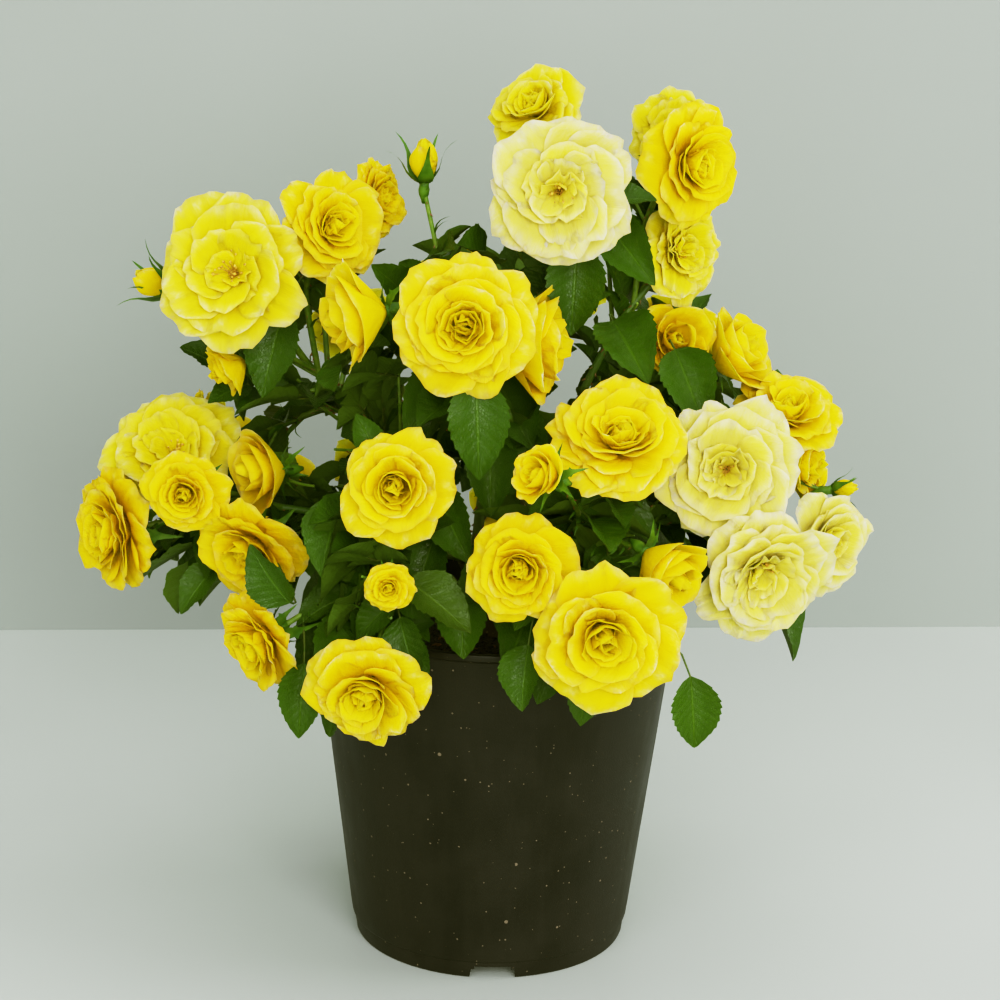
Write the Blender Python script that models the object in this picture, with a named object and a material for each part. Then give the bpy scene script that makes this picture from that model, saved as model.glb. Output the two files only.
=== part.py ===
"""A yellow patio rose in flower, standing in a round plastic nursery pot.

Metres, +Z up. The origin is the middle of the pot's flat underside, and -Y is the side that the
plant is looked at from. Every limb, twig, leaf and bloom is worked out from the named sizes below:
a route runs from the root crown, or from a fork, to the heart of each mass of foliage. The cane or
side bough is the first part of that route, and the stem inside the mass is the rest.
"""

import bisect
import math
import random
from collections import namedtuple

import bmesh
import bpy
from mathutils import Matrix, Vector
from mathutils.kdtree import KDTree

# Pot: a turned shell with a lip, a stepped foot and four drain channels in its underside.
POT_HEIGHT = 0.183
POT_LIP_RADIUS = 0.095
POT_LIP_HEIGHT = 0.0045
POT_LIP_PROUD = 0.0014
POT_WALL = 0.0022
POT_FOOT_RADIUS = 0.0705
POT_FOOT_HEIGHT = 0.009
POT_FOOT_INSET = 0.0009
POT_BASE = 0.0105
POT_SEGMENTS = 44
CHANNEL_COUNT = 4
CHANNEL_WIDTH = 0.024
CHANNEL_HEIGHT = 0.0068
CHANNEL_INNER_END = 0.030
CHANNEL_TURN = math.radians(2)

# Colours and roughness.
Finish = namedtuple("Finish", "colour roughness")
PLASTIC = Finish((0.018, 0.017, 0.014), 0.45)
COMPOST = Finish((0.035, 0.020, 0.012), 0.95)
BARK = Finish((0.075, 0.110, 0.030), 0.6)
LEAF_GREEN = Finish((0.030, 0.130, 0.020), 0.4)

# Potting soil.
SOIL_TOP = 0.164
SOIL_CROWN = 0.004
SOIL_FLAT_RADIUS = 0.022
SOIL_SEGMENTS = 28

GAP = 0.0003

# Limbs.
KNUCKLE_RADIUS = 0.012
KNUCKLE_HEIGHT = 0.020
ARM_LENGTH = 0.024
CANE_RADII = (0.0036, 0.0023)
BOUGH_RADII = (0.0026, 0.0021)
STEM_RADII = (0.0021, 0.0017)
TWIG_RADII = (0.0010, 0.0012)
PEDUNCLE_RADII = (0.0010, 0.0014)
CANE_SIDES = 6
CANE_RISE = math.radians(62)
CANE_SHARE = 0.46
BOUGH_SHARE = 0.42
FORK_ANGLE = math.radians(45)

# Leaves: a stalk with a leaflet at its end and a pair at its sides.
LEAF_STALK = 0.034
LEAF_STALK_RADIUS = 0.0007
LEAF_FORK = 0.0015
LEAF_SIZES = (1.12, 0.60)
LEAF_SPLAY = (math.radians(30), math.radians(80))
LEAFLET_LENGTH = 0.046
LEAFLET_WIDTH = 0.68
LEAFLET_THICKNESS = 0.0013
LEAFLET_FOLD = 0.10
LEAFLET_DROOP = 0.16
LEAFLETS_APART = 0.016
SIDE_LEAFLET_SCALE = 0.82
SIDE_LEAFLETS_AT = 0.62
SIDE_LEAFLET_ANGLE = math.radians(64)
TWIG_LENGTH = (0.034, 0.056)
TWIGS_PER_MASS = 2
TWIG_TRIES = 80
LEAVES_PER_MASS = 8
LEAF_TRIES = 900
CLEAR = 0.0015
MOST_REACH = 0.070
NUDGE = 0.001
ROUTE_STEPS = 32
RING_SPACING = 0.020
CROWN_MIDDLE = Vector((-0.005, -0.010, 0.240))
SKIN_SHARPNESS = 40.0
SKIN_DEPTH = 0.004

# Blooms.
HIP_HEIGHT = 0.010
PETAL_SHOULDER = 0.26
STALK_FORKS = (0.001, 0.022)

# How far each kind of bloom is open. Each pair is a ring of the bloom's surface: its radius and its
# height above the bloom's foot, as shares of half the bloom's width. The rim has a point at either
# side of each petal and a notch between petals. The throat and the heart are the petals inside.
Stage = namedtuple("Stage", "petals rim notch throat heart middle back")
OPEN = Stage(6, (1.00, 0.30), (0.83, 0.19), (0.58, 0.22), (0.34, 0.42), 0.34, (0.40, 0.00))
CUPPED = Stage(5, (1.00, 0.44), (0.82, 0.30), (0.66, 0.46), (0.42, 0.74), 0.60, (0.46, 0.02))
HALF = Stage(4, (1.00, 0.95), (0.84, 0.74), (0.66, 0.98), (0.40, 1.24), 1.16, (0.64, 0.10))
BUD = Stage(3, (1.00, 0.80), (0.86, 0.62), (0.72, 1.70), (0.34, 2.30), 2.55, (0.70, 0.05))

# place is the middle of the bloom's face. facing is its azimuth, from -Y towards +X, and its
# elevation, both in degrees. width is its diameter.
Bloom = namedtuple("Bloom", "place facing width stage")
# A leaf put where it shows: the middle of its end leaflet, the way it points and the way it faces.
Leaf = namedtuple("Leaf", "place points faces length")
# A mass of foliage: the limb that carries it, the heart where its stem ends, what it bears, and the
# seed of its growth.
Mass = namedtuple("Mass", "name limb heart blooms leaves seed")

MASSES = [
    Mass("upper_left", "cane_upper_left", (-0.098, -0.018, 0.308), [
        Bloom((-0.130, -0.065, 0.363), (-12, 18), 0.074, OPEN),
        Bloom((-0.080, -0.052, 0.384), (34, 22), 0.056, CUPPED),
        Bloom((-0.060, -0.008, 0.388), (60, 12), 0.042, CUPPED),
        Bloom((-0.074, -0.098, 0.350), (-72, -8), 0.044, HALF),
        Bloom((-0.168, -0.028, 0.348), (-78, 35), 0.019, BUD),
        Bloom((-0.134, -0.050, 0.309), (-68, -28), 0.026, HALF),
    ], [
        Leaf((-0.111, -0.052, 0.320), (-30, -62), (-10, 30), 0.044),
    ], 100),
    Mass("top_centre", "cane_top", (-0.012, -0.052, 0.318), [
        Bloom((-0.017, -0.118, 0.352), (-4, 14), 0.070, CUPPED),
        Bloom((0.020, -0.082, 0.336), (58, 4), 0.050, HALF),
        Bloom((-0.039, -0.026, 0.408), (10, 84), 0.020, BUD),
    ], [
        Leaf((-0.010, -0.120, 0.304), (12, -70), (-6, 20), 0.048),
        Leaf((-0.014, -0.052, 0.373), (-20, 30), (0, 40), 0.036),
        Leaf((0.006, -0.064, 0.298), (36, -42), (0, 30), 0.044),
        Leaf((-0.034, -0.072, 0.302), (-40, -30), (-10, 36), 0.042),
        Leaf((-0.052, -0.066, 0.360), (-30, 38), (0, 30), 0.034),
    ], 101),
    Mass("top", "bough_top", (0.034, -0.018, 0.366), [
        Bloom((0.026, -0.074, 0.408), (2, 14), 0.071, OPEN),
        Bloom((0.012, -0.026, 0.440), (-38, 42), 0.050, CUPPED),
    ], [
        Leaf((0.034, -0.058, 0.356), (-6, -72), (4, 28), 0.044),
        Leaf((0.060, -0.050, 0.374), (46, -38), (-14, 36), 0.042),
    ], 102),
    Mass("upper_right", "cane_upper_right", (0.078, 0.004, 0.352), [
        Bloom((0.093, -0.022, 0.411), (36, 8), 0.060, CUPPED),
        Bloom((0.074, 0.022, 0.420), (160, 40), 0.050, OPEN),
        Bloom((0.088, 0.000, 0.364), (46, 10), 0.052, OPEN),
    ], [
        Leaf((0.062, -0.056, 0.327), (24, -24), (0, 44), 0.044),
    ], 103),
    Mass("right_shoulder", "bough_right_shoulder", (0.114, 0.012, 0.268), [
        Bloom((0.086, -0.014, 0.322), (10, 20), 0.034, HALF),
        Bloom((0.121, 0.000, 0.314), (32, 48), 0.040, HALF),
        Bloom((0.144, -0.012, 0.287), (22, 48), 0.056, CUPPED),
        Bloom((0.158, 0.004, 0.254), (66, -8), 0.030, HALF),
        Bloom((0.173, 0.002, 0.242), (88, 12), 0.013, BUD),
    ], [
        Leaf((0.092, -0.046, 0.306), (30, -46), (0, 36), 0.042),
    ], 104),
    Mass("right", "cane_right", (0.104, -0.044, 0.242), [
        Bloom((0.109, -0.092, 0.279), (2, 16), 0.070, OPEN),
        Bloom((0.127, -0.104, 0.231), (18, -14), 0.070, OPEN),
        Bloom((0.164, -0.052, 0.230), (34, 2), 0.052, CUPPED),
    ], [], 105),
    Mass("front", "cane_front", (0.036, -0.082, 0.238), [
        Bloom((0.055, -0.118, 0.304), (4, 34), 0.070, CUPPED),
        Bloom((0.018, -0.150, 0.293), (-48, 24), 0.026, HALF),
        Bloom((0.010, -0.150, 0.247), (-10, 8), 0.055, CUPPED),
        Bloom((0.050, -0.160, 0.216), (2, -4), 0.070, CUPPED),
        Bloom((0.082, -0.134, 0.240), (44, -20), 0.040, HALF),
    ], [
        Leaf((0.096, -0.112, 0.162), (30, -78), (0, 10), 0.036),
        Leaf((0.014, -0.128, 0.184), (-16, -66), (-12, 14), 0.032),
        Leaf((0.062, -0.084, 0.252), (64, -20), (0, 50), 0.038),
        Leaf((-0.006, -0.098, 0.222), (-50, -20), (0, 50), 0.038),
    ], 106),
    Mass("front_left", "bough_front_left", (-0.056, -0.084, 0.228), [
        Bloom((-0.047, -0.140, 0.282), (-2, 14), 0.056, CUPPED),
        Bloom((-0.049, -0.152, 0.235), (2, 8), 0.026, HALF),
        Bloom((-0.115, -0.104, 0.190), (-50, -18), 0.054, CUPPED),
        Bloom((-0.059, -0.150, 0.183), (-10, -18), 0.060, CUPPED),
    ], [
        Leaf((-0.026, -0.132, 0.222), (60, -24), (0, 50), 0.040),
        Leaf((-0.080, -0.112, 0.248), (-24, -40), (-20, 40), 0.040),
        Leaf((-0.092, -0.118, 0.166), (-8, -66), (-10, 20), 0.036),
    ], 107),
    Mass("left", "bough_left", (-0.126, -0.026, 0.236), [
        Bloom((-0.193, -0.042, 0.224), (-58, 0), 0.066, CUPPED),
        Bloom((-0.163, -0.022, 0.262), (-12, 44), 0.066, OPEN),
        Bloom((-0.151, -0.082, 0.257), (-6, 4), 0.043, CUPPED),
        Bloom((-0.120, -0.062, 0.262), (-58, 2), 0.038, HALF),
        Bloom((-0.121, -0.078, 0.226), (-28, -22), 0.060, CUPPED),
    ], [
        Leaf((-0.148, -0.052, 0.199), (-60, -44), (-20, 30), 0.030),
    ], 108),
    Mass("back_left", "cane_back_left", (-0.092, 0.078, 0.268), [
        Bloom((-0.128, 0.112, 0.304), (-142, 22), 0.066, CUPPED),
        Bloom((-0.084, 0.132, 0.272), (-166, 12), 0.056, OPEN),
        Bloom((-0.158, 0.060, 0.262), (-108, 12), 0.058, OPEN),
        Bloom((-0.128, 0.108, 0.238), (-142, -8), 0.040, HALF),
    ], [], 109),
    Mass("back_top", "bough_back_top", (-0.012, 0.066, 0.312), [
        Bloom((-0.034, 0.108, 0.350), (-164, 34), 0.068, OPEN),
        Bloom((0.024, 0.118, 0.332), (172, 22), 0.062, CUPPED),
    ], [], 110),
    Mass("back_right", "cane_back_right", (0.088, 0.082, 0.278), [
        Bloom((0.104, 0.120, 0.318), (152, 24), 0.068, CUPPED),
        Bloom((0.150, 0.082, 0.284), (112, 16), 0.060, OPEN),
        Bloom((0.160, 0.048, 0.236), (98, 4), 0.052, CUPPED),
        Bloom((0.092, 0.142, 0.262), (156, 6), 0.042, HALF),
    ], [], 111),
    Mass("back_low_left", "bough_back_low_left", (-0.052, 0.106, 0.216), [
        Bloom((-0.082, 0.146, 0.222), (-152, 4), 0.062, OPEN),
        Bloom((-0.020, 0.156, 0.234), (-174, 10), 0.062, CUPPED),
        Bloom((-0.116, 0.128, 0.190), (-138, -12), 0.042, HALF),
    ], [], 112),
    Mass("back_low_right", "bough_back_low_right", (0.056, 0.110, 0.216), [
        Bloom((0.050, 0.160, 0.222), (168, 4), 0.066, CUPPED),
        Bloom((0.112, 0.128, 0.208), (140, -6), 0.058, OPEN),
        Bloom((0.008, 0.146, 0.186), (178, -16), 0.040, HALF),
    ], [], 113),
]

# Canes in the order that they stand round the root crown, anticlockwise from above, from +X.
CANES = [
    "cane_upper_right",
    "cane_back_right",
    "cane_back_left",
    "cane_upper_left",
    "cane_top",
    "cane_front",
    "cane_right",
]
FIRST_CANE_AT = math.radians(12)
# Each side bough: the cane that it forks from, and how far up that cane.
FORKS = {
    "bough_top": ("cane_top", 0.80),
    "bough_right_shoulder": ("cane_upper_right", 0.55),
    "bough_front_left": ("cane_top", 0.42),
    "bough_left": ("cane_upper_left", 0.52),
    "bough_back_top": ("cane_back_right", 0.62),
    "bough_back_low_left": ("cane_back_left", 0.45),
    "bough_back_low_right": ("cane_back_right", 0.36),
}

# Lines of sight through the crown that stay free of leaves: where they start and end, and radius.
GAPS = [
    ((-0.098, -0.250, 0.400), (-0.086, 0.200, 0.240), 0.013),
    ((-0.104, -0.250, 0.345), (-0.094, 0.200, 0.196), 0.011),
]


def direction(azimuth, elevation):
    """The unit vector of an azimuth, from -Y towards +X, and an elevation, in degrees."""
    a, e = math.radians(azimuth), math.radians(elevation)
    return Vector((math.sin(a) * math.cos(e), -math.cos(a) * math.cos(e), math.sin(e)))


def across(vector, axis):
    """The part of vector that is at right angles to axis, as a unit vector."""
    return (vector - axis * vector.dot(axis)).normalized()


def material(name, finish):
    made = bpy.data.materials.new(name)
    made.use_nodes = True
    shader = made.node_tree.nodes["Principled BSDF"]
    shader.inputs["Base Color"].default_value = (*finish.colour, 1)
    shader.inputs["Roughness"].default_value = finish.roughness
    shader.inputs["Metallic"].default_value = 0
    return made


class Line:
    """A run of points, measured along its length."""

    def __init__(self, points):
        self.points = points
        self.lengths = [0.0]
        for before, after in zip(points, points[1:]):
            self.lengths.append(self.lengths[-1] + (after - before).length)

    @property
    def length(self):
        return self.lengths[-1]

    def at(self, distance):
        distance = min(max(distance, 0.0), self.length)
        i = min(bisect.bisect_right(self.lengths, distance), len(self.points) - 1) - 1
        span = self.lengths[i + 1] - self.lengths[i]
        return self.points[i].lerp(self.points[i + 1], (distance - self.lengths[i]) / span)

    def tangent(self, distance):
        return (self.at(distance + NUDGE) - self.at(distance - NUDGE)).normalized()

    def stretch(self, first, last, count):
        return [self.at(first + (last - first) * i / (count - 1)) for i in range(count)]


class Route(Line):
    """A smooth curve between two points."""

    def __init__(self, start, leaving, end, arriving, pull=0.38):
        reach = (end - start).length * pull
        a, b = start + leaving * reach, end - arriving * reach
        points = []
        for step in range(ROUTE_STEPS + 1):
            t = step / ROUTE_STEPS
            s = 1 - t
            points.append(s**3 * start + 3 * s * s * t * a + 3 * s * t * t * b + t**3 * end)
        super().__init__(points)


class Stem(Line):
    """A tapering tube along part of a route, with flat ends and rings that are square to it."""

    def __init__(self, route, first, last, rings, radii, sides):
        places = [first + (last - first) * i / (rings - 1) for i in range(rings)]
        super().__init__([route.at(place) for place in places])
        self.tangents = [route.tangent(place) for place in places]
        self.radii, self.sides = radii, sides

    def shape(self):
        verts, faces = [], []
        side = self.tangents[0].orthogonal().normalized()
        sides, rings = self.sides, len(self.points)
        for i, (point, tangent) in enumerate(zip(self.points, self.tangents)):
            side = across(side, tangent)
            up = tangent.cross(side)
            radius = self.radii[0] + (self.radii[1] - self.radii[0]) * i / (rings - 1)
            for k in range(sides):
                turn = 2 * math.pi * k / sides
                verts.append(point + (side * math.cos(turn) + up * math.sin(turn)) * radius)
        for i in range(rings - 1):
            for k in range(sides):
                a, b = i * sides + k, i * sides + (k + 1) % sides
                faces.append((a, b, b + sides, a + sides))
        faces.append(tuple(reversed(range(sides))))
        faces.append(tuple(range(len(verts) - sides, len(verts))))
        return verts, faces


def build_mesh(name, verts, faces):
    mesh = bpy.data.meshes.new(name)
    mesh.from_pydata([tuple(v) for v in verts], [], faces)
    bm = bmesh.new()
    bm.from_mesh(mesh)
    bmesh.ops.recalc_face_normals(bm, faces=bm.faces)
    if bm.calc_volume(signed=True) < 0:
        bmesh.ops.reverse_faces(bm, faces=bm.faces)
    bm.to_mesh(mesh)
    bm.free()
    return mesh


def add(name, mesh, finish):
    made = bpy.data.objects.new(name, mesh)
    mesh.materials.clear()
    mesh.materials.append(material(name, finish))
    bpy.context.scene.collection.objects.link(made)
    return made


def smooth(mesh, sharpest=math.radians(40)):
    """Shades the mesh as round, with an edge kept wherever it turns by more than this."""
    mesh.polygons.foreach_set("use_smooth", [True] * len(mesh.polygons))
    mesh.set_sharp_from_angle(angle=sharpest)


def keep_largest(mesh):
    """Drops sealed hollows and loose scraps, so that one closed body is left."""
    bm = bmesh.new()
    bm.from_mesh(mesh)
    bm.faces.ensure_lookup_table()
    left, shells = set(bm.faces), []
    while left:
        todo, shell = [left.pop()], set()
        while todo:
            face = todo.pop()
            shell.add(face)
            for edge in face.edges:
                for other in edge.link_faces:
                    if other in left:
                        left.remove(other)
                        todo.append(other)
        shells.append(shell)
    shells.sort(key=len, reverse=True)
    scraps = [face for shell in shells[1:] for face in shell]
    bmesh.ops.delete(bm, geom=scraps, context="FACES")
    bm.to_mesh(mesh)
    bm.free()


def fuse(name, shapes, finish):
    """One object from many closed shapes, by a Boolean union."""
    base = add(name, build_mesh(name, *shapes[0]), finish)
    helpers = bpy.data.collections.new(name + "_shapes")
    bpy.context.scene.collection.children.link(helpers)
    for i, shape in enumerate(shapes[1:]):
        label = f"{name}_{i}"
        helpers.objects.link(bpy.data.objects.new(label, build_mesh(label, *shape)))
    union = base.modifiers.new("Fuse", "BOOLEAN")
    union.operation = "UNION"
    union.operand_type = "COLLECTION"
    union.collection = helpers
    union.solver = "MANIFOLD"
    bpy.context.view_layer.update()
    graph = bpy.context.evaluated_depsgraph_get()
    fused = bpy.data.meshes.new_from_object(base.evaluated_get(graph))
    base.modifiers.remove(union)
    base.data = fused
    for helper in list(helpers.objects):
        bpy.data.objects.remove(helper)
    bpy.data.collections.remove(helpers)
    keep_largest(fused)
    return base


def turned(profile, segments):
    """Points and faces of a turned shape: (radius, height) pairs, with both ends on the axis."""
    verts, faces = [Vector((0, 0, profile[0][1]))], []
    rings = profile[1:-1]
    for radius, height in rings:
        for k in range(segments):
            turn = 2 * math.pi * k / segments
            verts.append(Vector((radius * math.cos(turn), radius * math.sin(turn), height)))
    verts.append(Vector((0, 0, profile[-1][1])))
    for k in range(segments):
        after = (k + 1) % segments
        faces.append((0, 1 + after, 1 + k))
        for i in range(len(rings) - 1):
            a, b = 1 + i * segments + k, 1 + i * segments + after
            faces.append((a, b, b + segments, a + segments))
        last = 1 + (len(rings) - 1) * segments
        faces.append((last + k, last + after, len(verts) - 1))
    return verts, faces


def pot_radius(height):
    """The pot wall's outer radius at a height, without the lip and the step of the foot."""
    wall_top = POT_LIP_RADIUS - POT_LIP_PROUD
    return POT_FOOT_RADIUS + (wall_top - POT_FOOT_RADIUS) * height / POT_HEIGHT


def make_pot():
    lip_foot = POT_HEIGHT - POT_LIP_HEIGHT
    inner_top = POT_LIP_RADIUS - POT_LIP_PROUD - POT_WALL
    profile = [
        (0, 0),
        (pot_radius(0) - POT_FOOT_INSET, 0),
        (pot_radius(POT_FOOT_HEIGHT) - POT_FOOT_INSET, POT_FOOT_HEIGHT),
        (pot_radius(POT_FOOT_HEIGHT), POT_FOOT_HEIGHT + POT_FOOT_INSET),
        (pot_radius(lip_foot), lip_foot),
        (POT_LIP_RADIUS, lip_foot + POT_LIP_PROUD),
        (POT_LIP_RADIUS, POT_HEIGHT),
        (inner_top, POT_HEIGHT),
        (pot_radius(POT_BASE) - POT_WALL, POT_BASE),
        (0, POT_BASE),
    ]
    pot = add("pot", build_mesh("pot", *turned(profile, POT_SEGMENTS)), PLASTIC)
    smooth(pot.data)
    middle = (CHANNEL_INNER_END + POT_LIP_RADIUS) / 2
    for k in range(CHANNEL_COUNT):
        turn = 2 * math.pi * k / CHANNEL_COUNT + CHANNEL_TURN - math.pi / 2
        bm = bmesh.new()
        size = (POT_LIP_RADIUS - CHANNEL_INNER_END, CHANNEL_WIDTH, 2 * CHANNEL_HEIGHT, 1)
        bmesh.ops.create_cube(bm, size=1, matrix=Matrix.Diagonal(size))
        mesh = bpy.data.meshes.new(f"channel_cutter_{k}")
        bm.to_mesh(mesh)
        bm.free()
        cutter = add(mesh.name, mesh, PLASTIC)
        cutter.location = (middle * math.cos(turn), middle * math.sin(turn), 0)
        cutter.rotation_euler = (0, 0, turn)
        cutter.hide_render = True
        cutter.display_type = "WIRE"
        cut = pot.modifiers.new(f"Channel {k}", "BOOLEAN")
        cut.operation = "DIFFERENCE"
        cut.object = cutter
        cut.solver = "EXACT"
    return pot


def make_soil():
    foot = POT_BASE + GAP
    rim = pot_radius(SOIL_TOP) - POT_WALL - 3 * GAP
    profile = [
        (0, foot),
        (pot_radius(foot) - POT_WALL - 3 * GAP, foot),
        (rim, SOIL_TOP - SOIL_CROWN),
        (rim * 0.6, SOIL_TOP - SOIL_CROWN * 0.2),
        (SOIL_FLAT_RADIUS, SOIL_TOP),
        (0, SOIL_TOP),
    ]
    soil = add("soil", build_mesh("soil", *turned(profile, SOIL_SEGMENTS)), COMPOST)
    smooth(soil.data)
    return soil


def heart_of(limb):
    return next(Vector(m.heart) for m in MASSES if m.limb == limb)


def plan_limbs():
    """The route of every cane and side bough, from its foot to the heart of its mass."""
    routes = {}
    for k, name in enumerate(CANES):
        turn = FIRST_CANE_AT + 2 * math.pi * k / len(CANES)
        outward = Vector((math.cos(turn), math.sin(turn), 0))
        leaving = outward * math.cos(CANE_RISE) + Vector((0, 0, math.sin(CANE_RISE)))
        foot = Vector((0, 0, SOIL_TOP + GAP + KNUCKLE_HEIGHT * 0.4)) + outward * 0.003
        heart = heart_of(name)
        arriving = ((heart - foot).normalized() + outward * 0.5).normalized()
        routes[name] = Route(foot, leaving, heart, arriving)
    for name, (parent, share) in FORKS.items():
        cane = routes[parent]
        at = cane.length * CANE_SHARE * share
        fork, along, heart = cane.at(at), cane.tangent(at), heart_of(name)
        away = across(heart - fork, along)
        leaving = along * math.cos(FORK_ANGLE) + away * math.sin(FORK_ANGLE)
        cane_radius = CANE_RADII[0] + (CANE_RADII[1] - CANE_RADII[0]) * share
        step = cane_radius / math.sin(FORK_ANGLE) + BOUGH_RADII[0] / math.tan(FORK_ANGLE) + 2 * GAP
        arriving = ((heart - fork).normalized() + Vector((heart.x, heart.y, 0)) * 4).normalized()
        routes[name] = Route(fork + leaving * step, leaving, heart, arriving)
    return routes


def limb_end(name, route):
    """How far along its route a cane or bough ends and its mass begins."""
    return route.length * (BOUGH_SHARE if name in FORKS else CANE_SHARE)


def plan_stem(name, route):
    """The cane or bough on a route."""
    first, last = 0.0 if name in FORKS else ARM_LENGTH + GAP, limb_end(name, route)
    radii = BOUGH_RADII if name in FORKS else CANE_RADII
    return Stem(route, first, last, max(4, round((last - first) / RING_SPACING)), radii, CANE_SIDES)


def make_root_crown(arms):
    """The knuckle on the soil that the canes stand on, with the first of each cane."""
    foot = SOIL_TOP + GAP
    profile = [
        (0, foot),
        (KNUCKLE_RADIUS * 1.15, foot),
        (KNUCKLE_RADIUS, foot + KNUCKLE_HEIGHT * 0.4),
        (KNUCKLE_RADIUS * 0.75, foot + KNUCKLE_HEIGHT * 0.85),
        (0, foot + KNUCKLE_HEIGHT),
    ]
    crown = fuse("root_crown", [turned(profile, 12), *[arm.shape() for arm in arms]], BARK)
    smooth(crown.data)
    return crown


def make_limb(name, limb):
    made = add(name, build_mesh(name, *limb.shape()), BARK)
    smooth(made.data)
    return made


def between(p, q, a, b):
    """The least distance between segments pq and ab."""
    u, v, w = q - p, b - a, p - a
    uu, uv, vv, uw, vw = u.dot(u), u.dot(v), v.dot(v), u.dot(w), v.dot(w)
    det = uu * vv - uv * uv
    s = min(max((uv * vw - vv * uw) / det, 0), 1) if det > 1e-12 else 0
    t = min(max((uv * s + vw) / vv, 0), 1)
    s = min(max((uv * t - uw) / uu, 0), 1)
    return (w + u * s - v * t).length


def tree_of(spots):
    tree = KDTree(len(spots))
    for i, spot in enumerate(spots):
        tree.insert(spot, i)
    tree.balance()
    return tree


def bloom_foot(bloom):
    """Where the bloom's petals join its hip."""
    return Vector(bloom.place) - direction(*bloom.facing) * bloom.width / 2 * bloom.stage.rim[1]


def plan_mass(mass, route):
    """The stem of a mass, and the stalk of each of its blooms, to the foot of its hip."""
    dice = random.Random(mass.seed)
    main = Stem(route, limb_end(mass.limb, route) + GAP, route.length, 4, STEM_RADII, 5)
    stalks = []
    for bloom in mass.blooms:
        facing = direction(*bloom.facing)
        foot = bloom_foot(bloom) - facing * HIP_HEIGHT * 0.35
        start = main.at(main.length - dice.uniform(*STALK_FORKS))
        leaving = (foot - start + main.tangent(main.length) * 0.03).normalized()
        way = Route(start, leaving, foot, facing)
        stalks.append(Stem(way, 0, way.length, 3, PEDUNCLE_RADII, 3))
    return main, stalks


class Space:
    """Which leaves and twigs each mass has room for."""

    def __init__(self, limbs, stems):
        self.own, self.others = {}, {}
        spots = {}
        for mass in MASSES:
            main, stalks = stems[mass.name]
            spots[mass.name] = main.stretch(0, main.length, 10)
            for stalk in stalks:
                spots[mass.name] += stalk.stretch(stalk.length * 0.2, stalk.length, 7)
            spots[mass.name] += [Vector(bloom.place) for bloom in mass.blooms]
            spots[mass.name] += [Vector(leaf.place) for leaf in mass.leaves]
        for name in spots:
            rest = [spot for other, found in spots.items() if other != name for spot in found]
            self.own[name], self.others[name] = tree_of(spots[name]), tree_of(rest)
        self.blooms = [
            (Vector(b.place), direction(*b.facing), b.width / 2, b.stage)
            for mass in MASSES
            for b in mass.blooms
        ]
        self.limbs = [
            (a, b, limb.radii[0]) for limb in limbs for a, b in zip(limb.points, limb.points[1:])
        ]

    def in_cell(self, spot, owner):
        """Nearer to its own mass's stems than to any other mass's."""
        near = self.own[owner].find(spot)[2]
        return near + CLEAR < self.others[owner].find(spot)[2] and near < MOST_REACH

    def in_crown(self, spot):
        """Whether a place is within the crown, whose skin passes through the blooms' faces."""
        offset = spot - CROWN_MIDDLE
        heading = offset.normalized()
        total = weights = 1e-9
        for place, _, _, _ in self.blooms:
            reach = place - CROWN_MIDDLE
            weight = math.exp((heading.dot(reach.normalized()) - 1) * SKIN_SHARPNESS)
            total += weight * reach.length
            weights += weight
        return offset.length < total / weights + SKIN_DEPTH

    def in_bloom(self, spot):
        for place, facing, half, stage in self.blooms:
            offset = spot - (place - facing * half * stage.rim[1] * 0.5)
            if offset.length_squared > 4 * half * half:
                continue
            along = offset.dot(facing)
            outward = math.sqrt(max(offset.length_squared - along * along, 0))
            deep = half * stage.heart[1] * 0.62
            if (outward / (half + CLEAR)) ** 2 + (along / (deep + CLEAR)) ** 2 < 1:
                return True
        return False

    @staticmethod
    def in_pot(spot):
        if spot.z > POT_HEIGHT + CLEAR:
            return False
        radius = math.hypot(spot.x, spot.y)
        inside = radius < pot_radius(spot.z) - POT_WALL - CLEAR and spot.z > SOIL_TOP + CLEAR
        return not inside and radius < POT_LIP_RADIUS + CLEAR

    @staticmethod
    def in_gap(spot):
        for start, end, radius in GAPS:
            a, b = Vector(start), Vector(end)
            along = (spot - a).dot(b - a) / (b - a).length_squared
            if 0 < along < 1 and (spot - a.lerp(b, along)).length < radius:
                return True
        return False

    def near_limb(self, points):
        """Whether any stretch between these points comes within reach of a cane or bough."""
        for p, q in zip(points, points[1:]):
            for a, b, radius in self.limbs:
                if between(p, q, a, b) < radius + CLEAR:
                    return True
        return False

    def free(self, spots, owner):
        return not any(
            self.in_pot(spot)
            or self.in_gap(spot)
            or not self.in_crown(spot)
            or self.in_bloom(spot)
            or not self.in_cell(spot, owner)
            for spot in spots
        )



def leaflet(root, points, faces, length):
    """The corners of a leaflet's outline from its left side round its tip, and its middle."""
    side = points.cross(faces)
    half = length * LEAFLET_WIDTH / 2
    lift = faces * length * LEAFLET_FOLD
    middle = root + points * length * 0.45
    tip = root + points * length - faces * length * LEAFLET_DROOP
    return [middle - side * half + lift, tip, middle + side * half + lift], middle


def plan_leaf(foot, points, faces, size):
    """A leaf as the places along its stalk and its leaflets, each (root, points, faces, length)."""
    faces = across(faces, points)
    side = points.cross(faces)
    end = foot + points * LEAF_STALK * size
    leaflets = [(end, points, faces, LEAFLET_LENGTH * size)]
    fork = foot.lerp(end, SIDE_LEAFLETS_AT)
    for sign in (-1, 1):
        aside = side * sign * math.sin(SIDE_LEAFLET_ANGLE)
        heading = points * math.cos(SIDE_LEAFLET_ANGLE) + aside
        root = fork + side * sign * LEAF_STALK_RADIUS
        leaflets.append((root, heading, faces, LEAFLET_LENGTH * size * SIDE_LEAFLET_SCALE))
    return [foot, fork - points * LEAF_FORK, fork + points * LEAF_FORK, end], leaflets


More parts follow.
